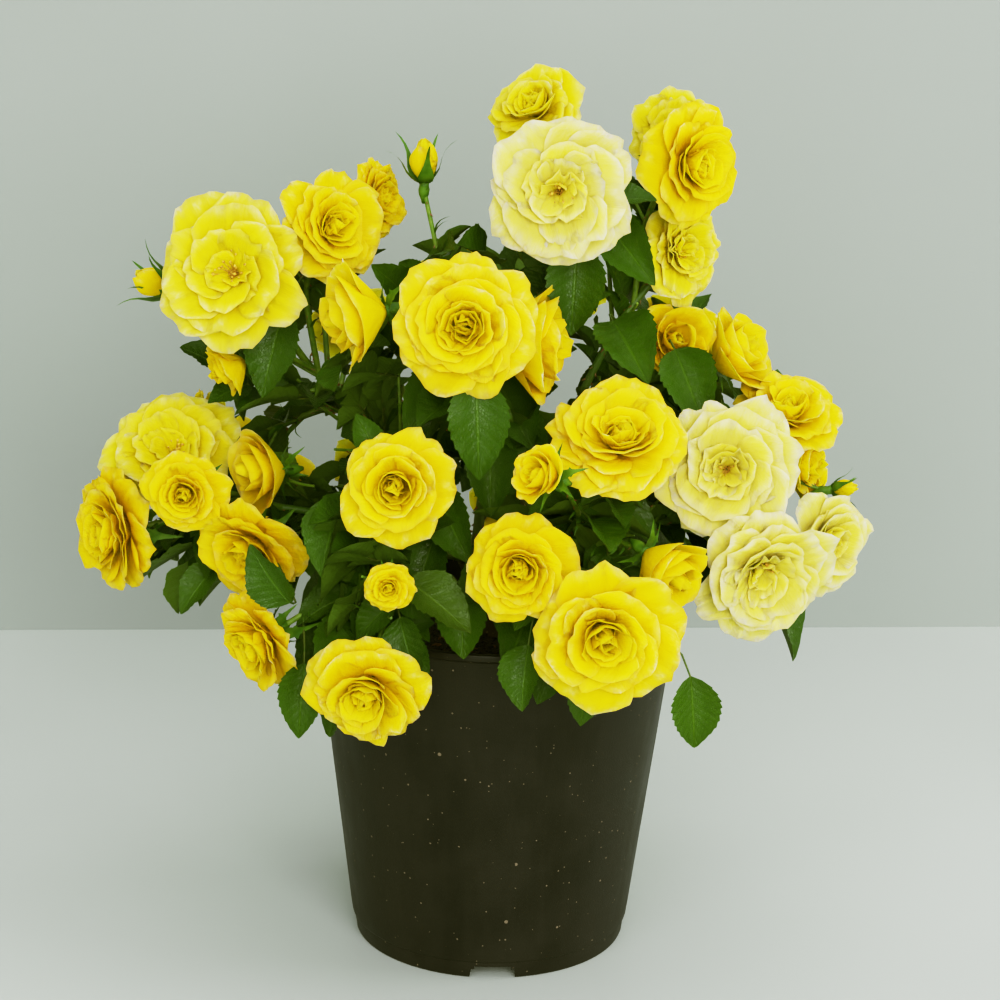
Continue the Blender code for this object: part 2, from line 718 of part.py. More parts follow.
def leaf_spots(leaflets):
    """Places all over a leaf's leaflets."""
    spots = []
    for root, points, faces, length in leaflets:
        (left, tip, right), middle = leaflet(root, points, faces, length)
        spots += [left, tip, right, middle, root.lerp(left, 0.5), root.lerp(right, 0.5)]
        spots += [tip.lerp(left, 0.5), tip.lerp(right, 0.5), middle.lerp(tip, 0.5)]
    return spots


def leaf_fits(stalk, leaflets, owner, space):
    if not space.free(leaf_spots(leaflets), owner):
        return False
    if space.near_limb(stalk[1:]) or not space.in_cell(stalk[0].lerp(stalk[-1], 0.5), owner):
        return False
    for root, points, faces, length in leaflets:
        (left, tip, right), middle = leaflet(root, points, faces, length)
        if space.near_limb([root, middle, tip]) or space.near_limb([left, middle, right]):
            return False
    return True


def grow_leaves(mass, stems, count, dice, space):
    """Leaves set on the stems at random, where there is room, with the largest tried first."""
    plans, taken = [], []
    lengths = [stem.length - first for stem, first in stems]
    for attempt in range(LEAF_TRIES):
        if len(plans) == count:
            break
        stem, first = dice.choices(stems, lengths)[0]
        distance = dice.uniform(first, stem.length * 0.94)
        foot, along = stem.at(distance), stem.tangent(distance)
        out = across(Vector([dice.gauss(0, 1) for _ in range(3)]), along)
        splay = dice.uniform(*LEAF_SPLAY)
        outward = Vector((foot.x, foot.y, 0)).normalized()
        points = (along * math.cos(splay) + out * math.sin(splay) + outward * 0.2).normalized()
        faces = Vector((0, 0, 0.8)) + outward * 0.8 + out * 0.2
        largest, smallest = LEAF_SIZES
        size = largest + (smallest - largest) * attempt / LEAF_TRIES
        stalk, leaflets = plan_leaf(foot, points, faces, size * dice.uniform(0.92, 1.0))
        middles = [root + heading * length * 0.5 for root, heading, _, length in leaflets]
        crowded = any((a - b).length < LEAFLETS_APART for a in middles for b in taken)
        if not crowded and leaf_fits(stalk, leaflets, mass.name, space):
            plans.append((stalk, leaflets))
            taken += middles
    return plans


def set_leaf(leaf, stems):
    """A leaf whose end leaflet is in a known place, on a stalk from the nearest stem."""
    points, faces = direction(*leaf.points), direction(*leaf.faces)
    faces = across(faces, points)
    root = Vector(leaf.place) - points * leaf.length / 2
    spots = [stem.at(stem.length * i / 16) for stem, _ in stems for i in range(4, 16)]
    foot = min(spots, key=lambda spot: abs((spot - root).length - LEAF_STALK * 0.8))
    stalk = Route(foot, (root - foot).normalized(), root, points)
    return stalk.stretch(0, stalk.length, 3), [(root, points, faces, leaf.length)]


def grow_twigs(mass, main, dice, space):
    twigs = []
    for _ in range(TWIG_TRIES):
        if len(twigs) == TWIGS_PER_MASS:
            break
        distance = dice.uniform(main.length * 0.15, main.length * 0.95)
        start, along = main.at(distance), main.tangent(distance)
        outward = Vector((start.x, start.y, 0)).normalized()
        lean = Vector([dice.gauss(0, 1) for _ in range(3)])
        heading = (across(lean, along) + along * 0.8 + outward * 0.3).normalized()
        end = start + heading * dice.uniform(*TWIG_LENGTH)
        way = Route(start, heading, end, (heading + Vector((0, 0, 0.5))).normalized())
        line = way.stretch(way.length * 0.25, way.length, 4)
        if space.free(line, mass.name) and not space.near_limb(line):
            twigs.append(Stem(way, 0, way.length, 3, TWIG_RADII, 3))
    return twigs


def leaf_shape(stalk, leaflets):
    """A leaf as one closed solid: a square stalk whose sides open out into leaflets."""
    faces_to = leaflets[0][2]
    verts, faces = [], []
    for i, point in enumerate(stalk):
        along = stalk[min(i + 1, len(stalk) - 1)] - stalk[max(i - 1, 0)]
        up = across(faces_to, along.normalized())
        side = along.normalized().cross(up)
        for across_by, up_by in ((-1, 1), (1, 1), (1, -1), (-1, -1)):
            offset = side * across_by + up * up_by * 0.7
            verts.append(point + offset * LEAF_STALK_RADIUS * (0.5 if i == 0 else 1))
    spread = len(leaflets) > 1
    for i in range(len(stalk) - 1):
        for k in range(4):
            if not (spread and i == 1 and k in (1, 3)):
                a, b = 4 * i + k, 4 * i + (k + 1) % 4
                faces.append((a, b, b + 4, a + 4))
    faces.append((3, 2, 1, 0))
    end = 4 * (len(stalk) - 1)
    # Each mouth is the top and bottom corners that a leaflet grows from, left and then right.
    mouths = [(end, end + 3, end + 1, end + 2), (4, 7, 8, 11), (9, 10, 5, 6)]
    for (root, points, normal, length), mouth in zip(leaflets, mouths):
        (left, tip, right), middle = leaflet(root, points, normal, length)
        first = len(verts)
        raised = normal * LEAFLET_THICKNESS / 2
        verts += [left, tip, right, middle + raised, middle - raised]
        top_left, under_left, top_right, under_right = mouth
        for a, b, hub in ((top_left, top_right, first + 3), (under_left, under_right, first + 4)):
            loop = [a, first, first + 1, first + 2, b]
            faces += [(p, q, hub) for p, q in zip(loop, [*loop[1:], a])]
        faces += [(top_left, under_left, first), (top_right, under_right, first + 2)]
    return verts, faces


def bloom_shape(bloom, spin):
    """One bloom with its hip as a closed solid: a lobed cup with a raised heart."""
    stage, half = bloom.stage, bloom.width / 2
    count = stage.petals
    part = 2 * math.pi / count
    facing = direction(*bloom.facing)
    turn = facing.to_track_quat("Z", "Y")
    foot = bloom_foot(bloom)

    def at(ring, angle, dip=0.0):
        radius, height = ring[0] * half, ring[1] * half - dip
        return foot + turn @ Vector((radius * math.cos(angle), radius * math.sin(angle), height))

    rim = []
    for k in range(count):
        middle = spin + part * k
        rim += [at(stage.rim, middle - part * PETAL_SHOULDER), at(stage.rim, middle + part * PETAL_SHOULDER)]
        rim.append(at(stage.notch, middle + part / 2))
    verts = list(rim)
    for ring, shift in ((stage.throat, 0.5), (stage.heart, 0), (stage.back, 0.5)):
        verts += [at(ring, spin + part * (k + shift)) for k in range(count)]
    verts += [at((0, stage.middle), 0), at((0, 0), 0, HIP_HEIGHT)]
    throat, heart, back = (3 * count + count * i for i in range(3))
    top, bottom = len(verts) - 2, len(verts) - 1
    faces = []
    for k in range(count):
        after = (k + 1) % count
        left, right, notch, following = 3 * k, 3 * k + 1, 3 * k + 2, 3 * after
        before = (k - 1) % count
        for ring in (throat, back):
            faces += [(ring + k, right, notch), (ring + k, notch, following)]
            faces += [(ring + before, left, right), (ring + before, right, ring + k)]
        faces += [(throat + before, throat + k, heart + k), (heart + k, throat + k, heart + after)]
        faces += [(heart + k, heart + after, top)]
        faces += [(back + before, back + k, bottom)]
    return verts, faces


def make_mass(mass, main, stalks, space):
    """The stem of one mass with its twigs, leaves and blooms, fused into one solid."""
    dice = random.Random(mass.seed)
    twigs = grow_twigs(mass, main, dice, space)
    shapes = [stem.shape() for stem in (main, *stalks, *twigs)]
    shapes += [bloom_shape(bloom, dice.uniform(0, 2 * math.pi)) for bloom in mass.blooms]
    stems = [(main, 0.004)]
    stems += [(stem, stem.length * 0.2) for stem in (*stalks, *twigs)]
    plans = [set_leaf(leaf, stems) for leaf in mass.leaves]
    plans += grow_leaves(mass, stems, LEAVES_PER_MASS, dice, space)
    shapes += [leaf_shape(stalk, leaflets) for stalk, leaflets in plans]
    print(f"{mass.name}: {len(twigs)} twigs, {len(plans)} leaves")
    return fuse("foliage_" + mass.name, shapes, LEAF_GREEN)


def main():
    for old in list(bpy.data.objects):
        bpy.data.objects.remove(old)
    make_pot()
    make_soil()
    routes = plan_limbs()
    arms = [Stem(routes[c], 0, ARM_LENGTH, 3, (CANE_RADII[0],) * 2, CANE_SIDES) for c in CANES]
    make_root_crown(arms)
    limbs = {name: plan_stem(name, route) for name, route in routes.items()}
    for name, limb in limbs.items():
        make_limb(name, limb)
    stems = {mass.name: plan_mass(mass, routes[mass.limb]) for mass in MASSES}
    space = Space([*arms, *limbs.values()], stems)
    for mass in MASSES:
        make_mass(mass, *stems[mass.name], space)


main()
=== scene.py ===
"""The looks of a yellow patio rose in flower, standing in a round plastic nursery pot.

Metres, +Z up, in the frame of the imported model. The crown is grown again by the rule of the part's
source, from the same named sizes and seeds, and is then carried on to finer twigs and more leaves
within the same reach. Blooms stand by their solids, some of them turned or moved a little, and are
built petal by petal.
"""

from __future__ import annotations

import bisect
import logging
import math
import random
from dataclasses import dataclass, field
from enum import Enum
from typing import Iterable, NamedTuple, Sequence, Union

import bmesh
import bpy
import numpy as np
from mathutils import Matrix, Vector
from mathutils.kdtree import KDTree

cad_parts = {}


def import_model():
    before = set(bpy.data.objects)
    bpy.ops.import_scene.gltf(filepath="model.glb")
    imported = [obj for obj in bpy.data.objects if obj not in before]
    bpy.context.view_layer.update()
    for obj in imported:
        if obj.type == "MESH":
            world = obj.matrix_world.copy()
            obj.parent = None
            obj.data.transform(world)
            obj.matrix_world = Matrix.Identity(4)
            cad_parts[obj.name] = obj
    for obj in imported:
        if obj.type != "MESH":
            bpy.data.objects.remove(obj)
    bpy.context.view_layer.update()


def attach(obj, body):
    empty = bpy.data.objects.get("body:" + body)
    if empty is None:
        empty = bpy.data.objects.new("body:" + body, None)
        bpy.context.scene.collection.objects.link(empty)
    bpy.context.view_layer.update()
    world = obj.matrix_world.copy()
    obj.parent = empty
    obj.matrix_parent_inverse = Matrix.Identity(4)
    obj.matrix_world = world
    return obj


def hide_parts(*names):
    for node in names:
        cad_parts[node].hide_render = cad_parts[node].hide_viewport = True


log = logging.getLogger("rose")
Triple = tuple[float, float, float]
Pair = tuple[float, float]
Material, Mesh, Piece = bpy.types.Material, bpy.types.Mesh, bpy.types.Object
Socket = bpy.types.NodeSocket
Value = Union[float, Sequence[float], Socket]
CHART = "OFBake"
CHART_INSET, CHART_SPAN = 0.04, 0.92
PETAL_TILES = (8, 4)
GOLDEN_ANGLE = 2.39996
GAP = 0.0003
NUDGE = 0.001


class Stage(NamedTuple):
    """How high a bloom's rim and heart stand over its foot, as shares of half its width."""

    rim: float
    heart: float


class Habit(Enum):
    """How a bloom is built up, and the stage of its solid."""

    FLAT = "flat"
    RUFFLED = "ruffled"
    ROSETTE = "rosette"
    SPIRAL = "spiral"
    LOOSE = "loose"
    HALF = "half"
    BUD = "bud"


class Tint(Enum):
    """The petal colours, each with its own row of the petals' chart."""

    DEEP = 0
    CLEAR = 1
    SOFT = 2
    CREAM = 3


class Tone(Enum):
    """The leaf greens, each with its own tile of the leaves' chart."""

    DARK = (0.0, 0.0)
    MIDDLE = (0.5, 0.0)
    FRESH = (0.0, 0.5)
    OLD = (0.5, 0.5)


OPEN, CUPPED = Stage(0.30, 0.42), Stage(0.44, 0.74)
HALF_OPEN, BUD = Stage(0.95, 1.24), Stage(0.80, 2.30)


class Bloom(NamedTuple):
    """A bloom: the middle of its face, its azimuth and elevation, its width, build and stage."""

    place: Triple
    facing: Pair
    width: float
    habit: Habit
    tint: Tint
    stage: Stage

    @property
    def axis(self) -> Vector:
        """The way it faces."""
        return direction(*self.facing)

    @property
    def foot(self) -> Vector:
        """Where its petals join its hip."""
        return Vector(self.place) - self.axis * self.width / 2 * self.stage.rim


class Leaf(NamedTuple):
    """A leaf in a known place: the middle of its end leaflet, where it points and faces."""

    place: Triple
    points: Pair
    faces: Pair
    length: float


class Mass(NamedTuple):
    """A mass of foliage: its limb, the heart where its stem ends, what it bears, and its seed."""

    name: str
    limb: str
    heart: Triple
    blooms: list[Bloom]
    leaves: list[Leaf]
    seed: int

    @property
    def at_back(self) -> bool:
        """Whether it stands behind the plant's middle."""
        return self.name.startswith("back")


FLAT, RUFFLED, ROSETTE, SPIRAL = Habit.FLAT, Habit.RUFFLED, Habit.ROSETTE, Habit.SPIRAL
LOOSE, HALF, CLOSED = Habit.LOOSE, Habit.HALF, Habit.BUD
DEEP, CLEAR, SOFT, CREAM = Tint.DEEP, Tint.CLEAR, Tint.SOFT, Tint.CREAM
STAGES = {
    FLAT: OPEN, RUFFLED: OPEN, ROSETTE: CUPPED, SPIRAL: CUPPED, LOOSE: CUPPED,
    HALF: HALF_OPEN, CLOSED: BUD,
}


def metres(place: Triple) -> Triple:
    """A place that is given in millimetres."""
    return tuple(share / 1000 for share in place)


def make_bloom(place: Triple, facing: Pair, width: float, habit: Habit, tint: Tint,
               stage: Stage | None = None) -> Bloom:
    """A bloom from its row in millimetres, at its habit's stage unless one is given."""
    return Bloom(metres(place), facing, width / 1000, habit, tint, stage or STAGES[habit])


def make_leaf(place: Triple, points: Pair, faces: Pair, length: float) -> Leaf:
    """A leaf whose place and length are in millimetres."""
    return Leaf(metres(place), points, faces, length / 1000)


def make_mass(name: str, limb: str, heart: Triple, blooms: list[tuple], leaves: list[tuple],
              seed: int) -> Mass:
    """A mass from its rows of blooms and leaves, all in millimetres and degrees."""
    return Mass(name, limb, metres(heart), [make_bloom(*row) for row in blooms],
                [make_leaf(*row) for row in leaves], seed)


# The masses of foliage in millimetres and degrees: each bloom's place, facing, width, habit and
# tint, and then the leaves that stand out, each with its place, heading, facing and length.
MASSES = [
    make_mass("upper_left", "cane_upper_left", (-98, -18, 308), [
        ((-130, -65, 363), (-12, 18), 74, FLAT, SOFT),
        ((-80, -52, 384), (34, 22), 56, LOOSE, CLEAR),
        ((-60, -8, 388), (60, 12), 42, ROSETTE, DEEP),
        ((-74, -98, 350), (-72, -8), 44, HALF, CLEAR),
        ((-168, -28, 348), (-78, 35), 19, CLOSED, CLEAR),
        ((-134, -50, 309), (-68, -28), 26, HALF, DEEP),
    ], [
        ((-111, -52, 320), (-30, -62), (-10, 30), 44),
    ], 100),
    make_mass("top_centre", "cane_top", (-12, -52, 318), [
        ((-17, -118, 352), (-4, 14), 70, ROSETTE, CLEAR),
        ((20, -82, 336), (80, -4), 50, HALF, DEEP),
        ((-39, -26, 408), (10, 84), 20, CLOSED, CLEAR),
    ], [
        ((-10, -120, 304), (12, -70), (-6, 20), 48),
        ((-14, -52, 373), (-20, 30), (0, 40), 36),
        ((6, -64, 298), (36, -42), (0, 30), 44),
        ((-34, -72, 302), (-40, -30), (-10, 36), 42),
        ((-52, -66, 360), (-30, 38), (0, 30), 34),
    ], 101),
    make_mass("top", "bough_top", (34, -18, 366), [
        ((26, -74, 408), (2, 14), 71, RUFFLED, CREAM),
        ((12, -26, 440), (-38, 42), 50, LOOSE, SOFT),
    ], [
        ((34, -58, 356), (-6, -72), (4, 28), 44),
        ((60, -50, 374), (46, -38), (-14, 36), 42),
    ], 102),
    make_mass("upper_right", "cane_upper_right", (78, 4, 352), [
        ((93, -22, 411), (44, 4), 60, LOOSE, DEEP),
        ((82, 20, 418), (-24, 34), 46, FLAT, SOFT),
        ((88, 0, 364), (46, 10), 52, RUFFLED, SOFT),
    ], [
        ((62, -56, 327), (24, -24), (0, 44), 44),
    ], 103),
    make_mass("right_shoulder", "bough_right_shoulder", (114, 12, 268), [
        ((86, -14, 322), (10, 20), 34, HALF, DEEP),
        ((121, 0, 314), (72, 34), 40, HALF, CLEAR),
        ((144, -12, 287), (26, 64), 56, LOOSE, CLEAR),
        ((158, 4, 254), (66, -8), 30, HALF, DEEP),
        ((173, 2, 242), (88, 12), 13, CLOSED, CLEAR),
    ], [
        ((92, -46, 306), (30, -46), (0, 36), 42),
    ], 104),
    make_mass("right", "cane_right", (104, -44, 242), [
        ((109, -92, 279), (2, 16), 70, RUFFLED, CREAM),
        ((127, -104, 231), (18, -14), 70, RUFFLED, CREAM),
        ((164, -52, 230), (34, 2), 52, LOOSE, CREAM),
    ], [], 105),
    make_mass("front", "cane_front", (36, -82, 238), [
        ((55, -118, 304), (4, 54), 70, ROSETTE, CLEAR),
        ((18, -150, 293), (-48, 24), 26, HALF, DEEP),
        ((10, -150, 247), (-10, 8), 55, SPIRAL, DEEP),
        ((50, -160, 216), (2, -4), 70, LOOSE, CLEAR),
        ((82, -134, 240), (44, -20), 40, HALF, DEEP),
    ], [
        ((96, -112, 162), (30, -78), (0, 10), 36),
        ((14, -128, 184), (-16, -66), (-12, 14), 32),
        ((62, -84, 252), (64, -20), (0, 50), 38),
        ((-6, -98, 222), (-50, -20), (0, 50), 38),
    ], 106),
    make_mass("front_left", "bough_front_left", (-56, -84, 228), [
        ((-47, -140, 282), (-2, 14), 56, SPIRAL, CLEAR),
        ((-49, -152, 235), (2, 8), 26, SPIRAL, DEEP, HALF_OPEN),
        ((-115, -104, 190), (-50, -18), 54, LOOSE, DEEP),
        ((-59, -150, 183), (-10, -18), 60, LOOSE, CLEAR),
    ], [
        ((-26, -132, 222), (60, -24), (0, 50), 40),
        ((-80, -112, 248), (-24, -40), (-20, 40), 40),
        ((-92, -118, 166), (-8, -66), (-10, 20), 36),
    ], 107),
    make_mass("left", "bough_left", (-126, -26, 236), [
        ((-193, -42, 224), (-58, 0), 66, ROSETTE, DEEP),
        ((-163, -22, 262), (-12, 44), 66, FLAT, SOFT),
        ((-151, -82, 257), (-6, 4), 43, SPIRAL, DEEP),
        ((-120, -62, 262), (-58, 2), 38, HALF, CLEAR),
        ((-121, -78, 226), (-28, -22), 60, LOOSE, DEEP),
    ], [
        ((-148, -52, 199), (-60, -44), (-20, 30), 30),
    ], 108),
    make_mass("back_left", "cane_back_left", (-92, 78, 268), [
        ((-134, 112, 308), (-142, 22), 62, ROSETTE, CLEAR),
        ((-82, 132, 289), (-166, 12), 46, FLAT, SOFT),
        ((-156, 60, 244), (-108, 6), 54, RUFFLED, CLEAR),
        ((-138, 106, 222), (-142, -8), 34, HALF, DEEP),
    ], [], 109),
    make_mass("back_top", "bough_back_top", (-12, 66, 312), [
        ((-26, 104, 316), (-164, 26), 56, FLAT, CLEAR),
        ((26, 118, 324), (172, 22), 60, SPIRAL, DEEP),
    ], [], 110),
    make_mass("back_right", "cane_back_right", (88, 82, 278), [
        ((96, 118, 292), (152, 20), 56, ROSETTE, CLEAR),
        ((145, 80, 250), (112, 8), 54, RUFFLED, CREAM),
        ((160, 48, 236), (98, 4), 52, LOOSE, CLEAR),
        ((92, 142, 262), (156, 6), 42, HALF, DEEP),
    ], [], 111),
    make_mass("back_low_left", "bough_back_low_left", (-52, 106, 216), [
        ((-68, 146, 208), (-152, 4), 54, RUFFLED, SOFT),
        ((-20, 156, 234), (-174, 10), 62, ROSETTE, CLEAR),
        ((-116, 128, 190), (-138, -12), 42, HALF, CLEAR),
    ], [], 112),
    make_mass("back_low_right", "bough_back_low_right", (56, 110, 216), [
        ((56, 160, 208), (168, 2), 62, LOOSE, CLEAR),
        ((112, 128, 208), (140, -6), 58, FLAT, SOFT),
        ((8, 146, 186), (178, -16), 40, HALF, DEEP),
    ], [], 113),
]

# Canes in the order that they stand round the root crown, anticlockwise from above, from +X.
CANES = (
    "cane_upper_right", "cane_back_right", "cane_back_left", "cane_upper_left",
    "cane_top", "cane_front", "cane_right",
)
# Each side bough: the cane that it forks from, and how far up that cane.
FORKS = {
    "bough_top": ("cane_top", 0.80),
    "bough_right_shoulder": ("cane_upper_right", 0.55),
    "bough_front_left": ("cane_top", 0.42),
    "bough_left": ("cane_upper_left", 0.52),
    "bough_back_top": ("cane_back_right", 0.62),
    "bough_back_low_left": ("cane_back_left", 0.45),
    "bough_back_low_right": ("cane_back_right", 0.36),
}
# Leaves that the dressed crown adds low inside, over the canes, in millimetres and degrees.
INNER = {
    "top_centre": [
        ((-4, -66, 266), (6, -58), (-4, 24), 42),
        ((12, -60, 284), (50, -40), (0, 30), 38),
    ],
    "front": [
        ((6, -96, 212), (-10, -62), (0, 24), 40),
        ((26, -94, 196), (40, -50), (10, 24), 36),
        ((30, -96, 262), (58, -12), (0, 46), 36),
    ],
    "front_left": [
        ((-22, -92, 248), (34, -44), (0, 26), 42),
        ((-36, -90, 222), (-30, -54), (-10, 24), 40),
        ((-16, -96, 200), (8, -66), (0, 16), 36),
        ((-58, -98, 202), (-36, -46), (-12, 24), 38),
        ((-76, -84, 214), (-50, -34), (-16, 30), 36),
    ],
    "left": [((-108, -118, 229), (-76, 52), (-20, 12), 34)],
}
# Lines of sight through the crown that stay free of leaves: where they start and end, and radius.
GAPS = (
    ((-0.098, -0.250, 0.400), (-0.086, 0.200, 0.240), 0.017),
    ((-0.104, -0.250, 0.345), (-0.094, 0.200, 0.196), 0.014),
    ((-0.033, -0.250, 0.434), (-0.044, 0.200, 0.333), 0.013),
)


def feed(socket: Socket, value: Value) -> None:
    """Feeds one input of a node.

    Args:
        socket: The input.
        value: A socket to link, or a plain value; a colour is opaque.
    """
    if isinstance(value, Socket):
        socket.id_data.links.new(value, socket)
    elif isinstance(value, tuple) and len(value) == 3 and socket.type == "RGBA":
        socket.default_value = (*value, 1)
    else:
        socket.default_value = value


class Wiring:
    """A node tree while its nodes are put in and joined up."""

    def __init__(self, tree: bpy.types.NodeTree) -> None:
        """Starts on a tree."""
        self.tree = tree

    def put(self, kind: str, feeds: dict[Union[str, int], Value] | None = None,
            out: Union[str, int] = 0, **settings: object) -> Socket:
        """Puts in one node.

        Args:
            kind: The node's type.
            feeds: What goes into its inputs.
            out: The output that is wanted.
            **settings: The node's own properties.

        Returns:
            The output socket.
        """
        node = self.tree.nodes.new(kind)
        for name, value in settings.items():
            setattr(node, name, value)
        for name, value in (feeds or {}).items():
            feed(node.inputs[name], value)
        return node.outputs[out]

    def math(self, operation: str, a: Value, b: Value = 0.0) -> Socket:
        """One sum on values."""
        return self.put("ShaderNodeMath", {0: a, 1: b}, operation=operation)

    def times(self, a: Value, b: Value) -> Socket:
        """One value times another."""
        return self.math("MULTIPLY", a, b)

    def plus(self, a: Value, b: Value) -> Socket:
        """One value added to another."""
        return self.math("ADD", a, b)

    def ramp(self, value: Value, low: float, high: float, start: Value = 0.0, end: Value = 1.0,
             shape: str = "SMOOTHSTEP") -> Socket:
        """A smooth or straight change from start to end while value goes from low to high."""
        feeds = {"Value": value, "From Min": low, "From Max": high, "To Min": start, "To Max": end}
        return self.put("ShaderNodeMapRange", feeds, interpolation_type=shape)

    def blend(self, share: Value, a: Value, b: Value) -> Socket:
        """A mix of two colours."""
        return self.put("ShaderNodeMix", {0: share, 6: a, 7: b}, out=2, data_type="RGBA")

    def noise(self, place: Value, scale: Value, detail: float = 2.0) -> Socket:
        """Noise between 0 and 1."""
        feeds = {"Vector": place, "Scale": scale, "Detail": detail}
        return self.put("ShaderNodeTexNoise", feeds)

    def point(self, x: Value, y: Value, z: Value) -> Socket:
        """A place made of three values."""
        return self.put("ShaderNodeCombineXYZ", {0: x, 1: y, 2: z})

    def part(self, place: Value, axis: int) -> Socket:
        """One of the three values of a place."""
        return self.put("ShaderNodeSeparateXYZ", {0: place}, out=axis)

    def stretched(self, place: Value, x: float, y: float, z: float) -> Socket:
        """A place with its three values scaled."""
        return self.put("ShaderNodeMapping", {"Vector": place, "Scale": (x, y, z)})

    def scaled(self, place: Value, by: Value) -> Socket:
        """A place or heading times a value."""
        return self.put("ShaderNodeVectorMath", {0: place, "Scale": by}, operation="SCALE")

    def attribute(self, name: str, kind: str) -> Socket:
        """An attribute of the geometry that a tree runs on."""
        return self.put("GeometryNodeInputNamedAttribute", {"Name": name}, data_type=kind)

    def object_place(self) -> Socket:
        """Object coordinates, which are the frame's own metres."""
        return self.put("ShaderNodeTexCoord", out="Object")


class Group:
    """A node group with named inputs and outputs, while it is built."""

    def __init__(self, name: str, kind: str, inputs: dict[str, tuple[str, object]],
                 outputs: dict[str, str]) -> None:
        """Makes the empty group.

        Args:
            name: The group's name.
            kind: The kind of tree, Shader or Geometry.
            inputs: Each input's socket type and usual value.
            outputs: Each output's socket type.
        """
        self.tree = bpy.data.node_groups.new(name, kind + "NodeTree")
        self.names: dict[str, str] = {}
        for label, (type_, usual) in inputs.items():
            socket = self.tree.interface.new_socket(
                name=label, in_out="INPUT", socket_type="NodeSocket" + type_)
            if usual is not None:
                socket.default_value = usual
            self.names[label] = socket.identifier
        for label, type_ in outputs.items():
            self.tree.interface.new_socket(
                name=label, in_out="OUTPUT", socket_type="NodeSocket" + type_)
        self.wires = Wiring(self.tree)
        self.given = self.tree.nodes.new("NodeGroupInput").outputs
        self.made = self.tree.nodes.new("NodeGroupOutput").inputs


class Effect(Group):
    """A shader node group that is built once and used by many materials."""

    def __init__(self, name: str, inputs: dict[str, Value], outputs: Sequence[str]) -> None:
        """Makes the empty group, whose outputs are all values.

        Args:
            name: The group's name.
            inputs: Each input and its usual value: a number, or three for a vector.
            outputs: The outputs' names.
        """
        kinds = {label: ("Float" if isinstance(usual, float) else "Vector", usual)
                 for label, usual in inputs.items()}
        super().__init__(name, "Shader", kinds, dict.fromkeys(outputs, "Float"))

    def use(self, wires: Wiring, out: str, **feeds: Value) -> Socket:
        """Places the group in a material.

        Args:
            wires: The material's tree.
            out: The output that is wanted.
            **feeds: Its inputs, with _ for a space.

        Returns:
            The output socket.
        """
        node = wires.tree.nodes.new("ShaderNodeGroup")
        node.node_tree = self.tree
        for name, value in feeds.items():
            feed(node.inputs[name.replace("_", " ")], value)
        return node.outputs[out]


def make_specks() -> Effect:
    """Round specks thrown at random, each its own size, as grit and splashes leave."""
    made = Effect("specks", {"Place": (0.0, 0.0, 0.0), "Scale": 300.0, "Size": 0.2, "Share": 0.5},
                  ["Mask"])
    w, given = made.wires, made.given
    cell = w.tree.nodes.new("ShaderNodeTexVoronoi")
    feed(cell.inputs["Vector"], given["Place"])
    feed(cell.inputs["Scale"], given["Scale"])
    dice, other = (w.put("ShaderNodeSeparateColor", {0: cell.outputs["Color"]}, out=k)
                   for k in (0, 1))
    reach = w.times(given["Size"], w.math("POWER", other, 2.0))
    inside = w.math("LESS_THAN", cell.outputs["Distance"], reach)
    feed(made.made["Mask"], w.times(inside, w.math("LESS_THAN", dice, given["Share"])))
    return made


def make_mottle() -> Effect:
    """Broad cloudy variation between two levels."""
    made = Effect("mottle", {"Place": (0.0, 0.0, 0.0), "Scale": 20.0, "Low": 0.0, "High": 1.0},
                  ["Level"])
    w, given = made.wires, made.given
    cloud = w.noise(given["Place"], given["Scale"], 3.0)
    feed(made.made["Level"], w.ramp(cloud, 0.32, 0.68, given["Low"], given["High"]))
    return made


def make_chart_place() -> Effect:
    """Where a point of a leaf or petal is on its own shape, from its tile of the chart."""
    made = Effect("chart_place", {"Chart": (0.0, 0.0, 0.0), "Columns": 2.0, "Rows": 2.0},
                  ["Across", "Along", "Column"])
    w, given = made.wires, made.given
    wide = w.times(w.part(given["Chart"], 0), given["Columns"])
    high = w.times(w.part(given["Chart"], 1), given["Rows"])
    for name, value, start in (("Across", wide, -1.0), ("Along", high, 0.0)):
        inset = w.math("FRACT", value)
        far = CHART_INSET + CHART_SPAN
        feed(made.made[name], w.ramp(inset, CHART_INSET, far, start, 1.0, "LINEAR"))
    feed(made.made["Column"], w.math("FLOOR", wide))
    return made


class Surface:
    """One material while its looks are put together."""

    def __init__(self, name: str) -> None:
        """Makes the material with one Principled shader."""
        self.material = bpy.data.materials.new(name)
        self.material.use_nodes = True
        self.wires = Wiring(self.material.node_tree)
        self.shader = self.material.node_tree.nodes["Principled BSDF"]

    def set(self, **values: Value) -> None:
        """Sets or links the shader's inputs, with _ for a space."""
        for name, value in values.items():
            feed(self.shader.inputs[name.replace("_", " ")], value)

    def bump(self, height: Value, depth: float) -> None:
        """Raises the surface by a height, in shares of depth metres."""
        self.set(Normal=self.wires.put("ShaderNodeBump", {"Height": height, "Distance": depth}))


class Effects(NamedTuple):
    """The shared node groups."""

    specks: Effect
    mottle: Effect
    chart_place: Effect


class Finish:
    """A finish that can be built as a material."""

    def material(self, effects: Effects) -> Material:
        """Builds the material.

        Args:
            effects: The shared node groups.

        Returns:
            The material.
        """
        raise NotImplementedError


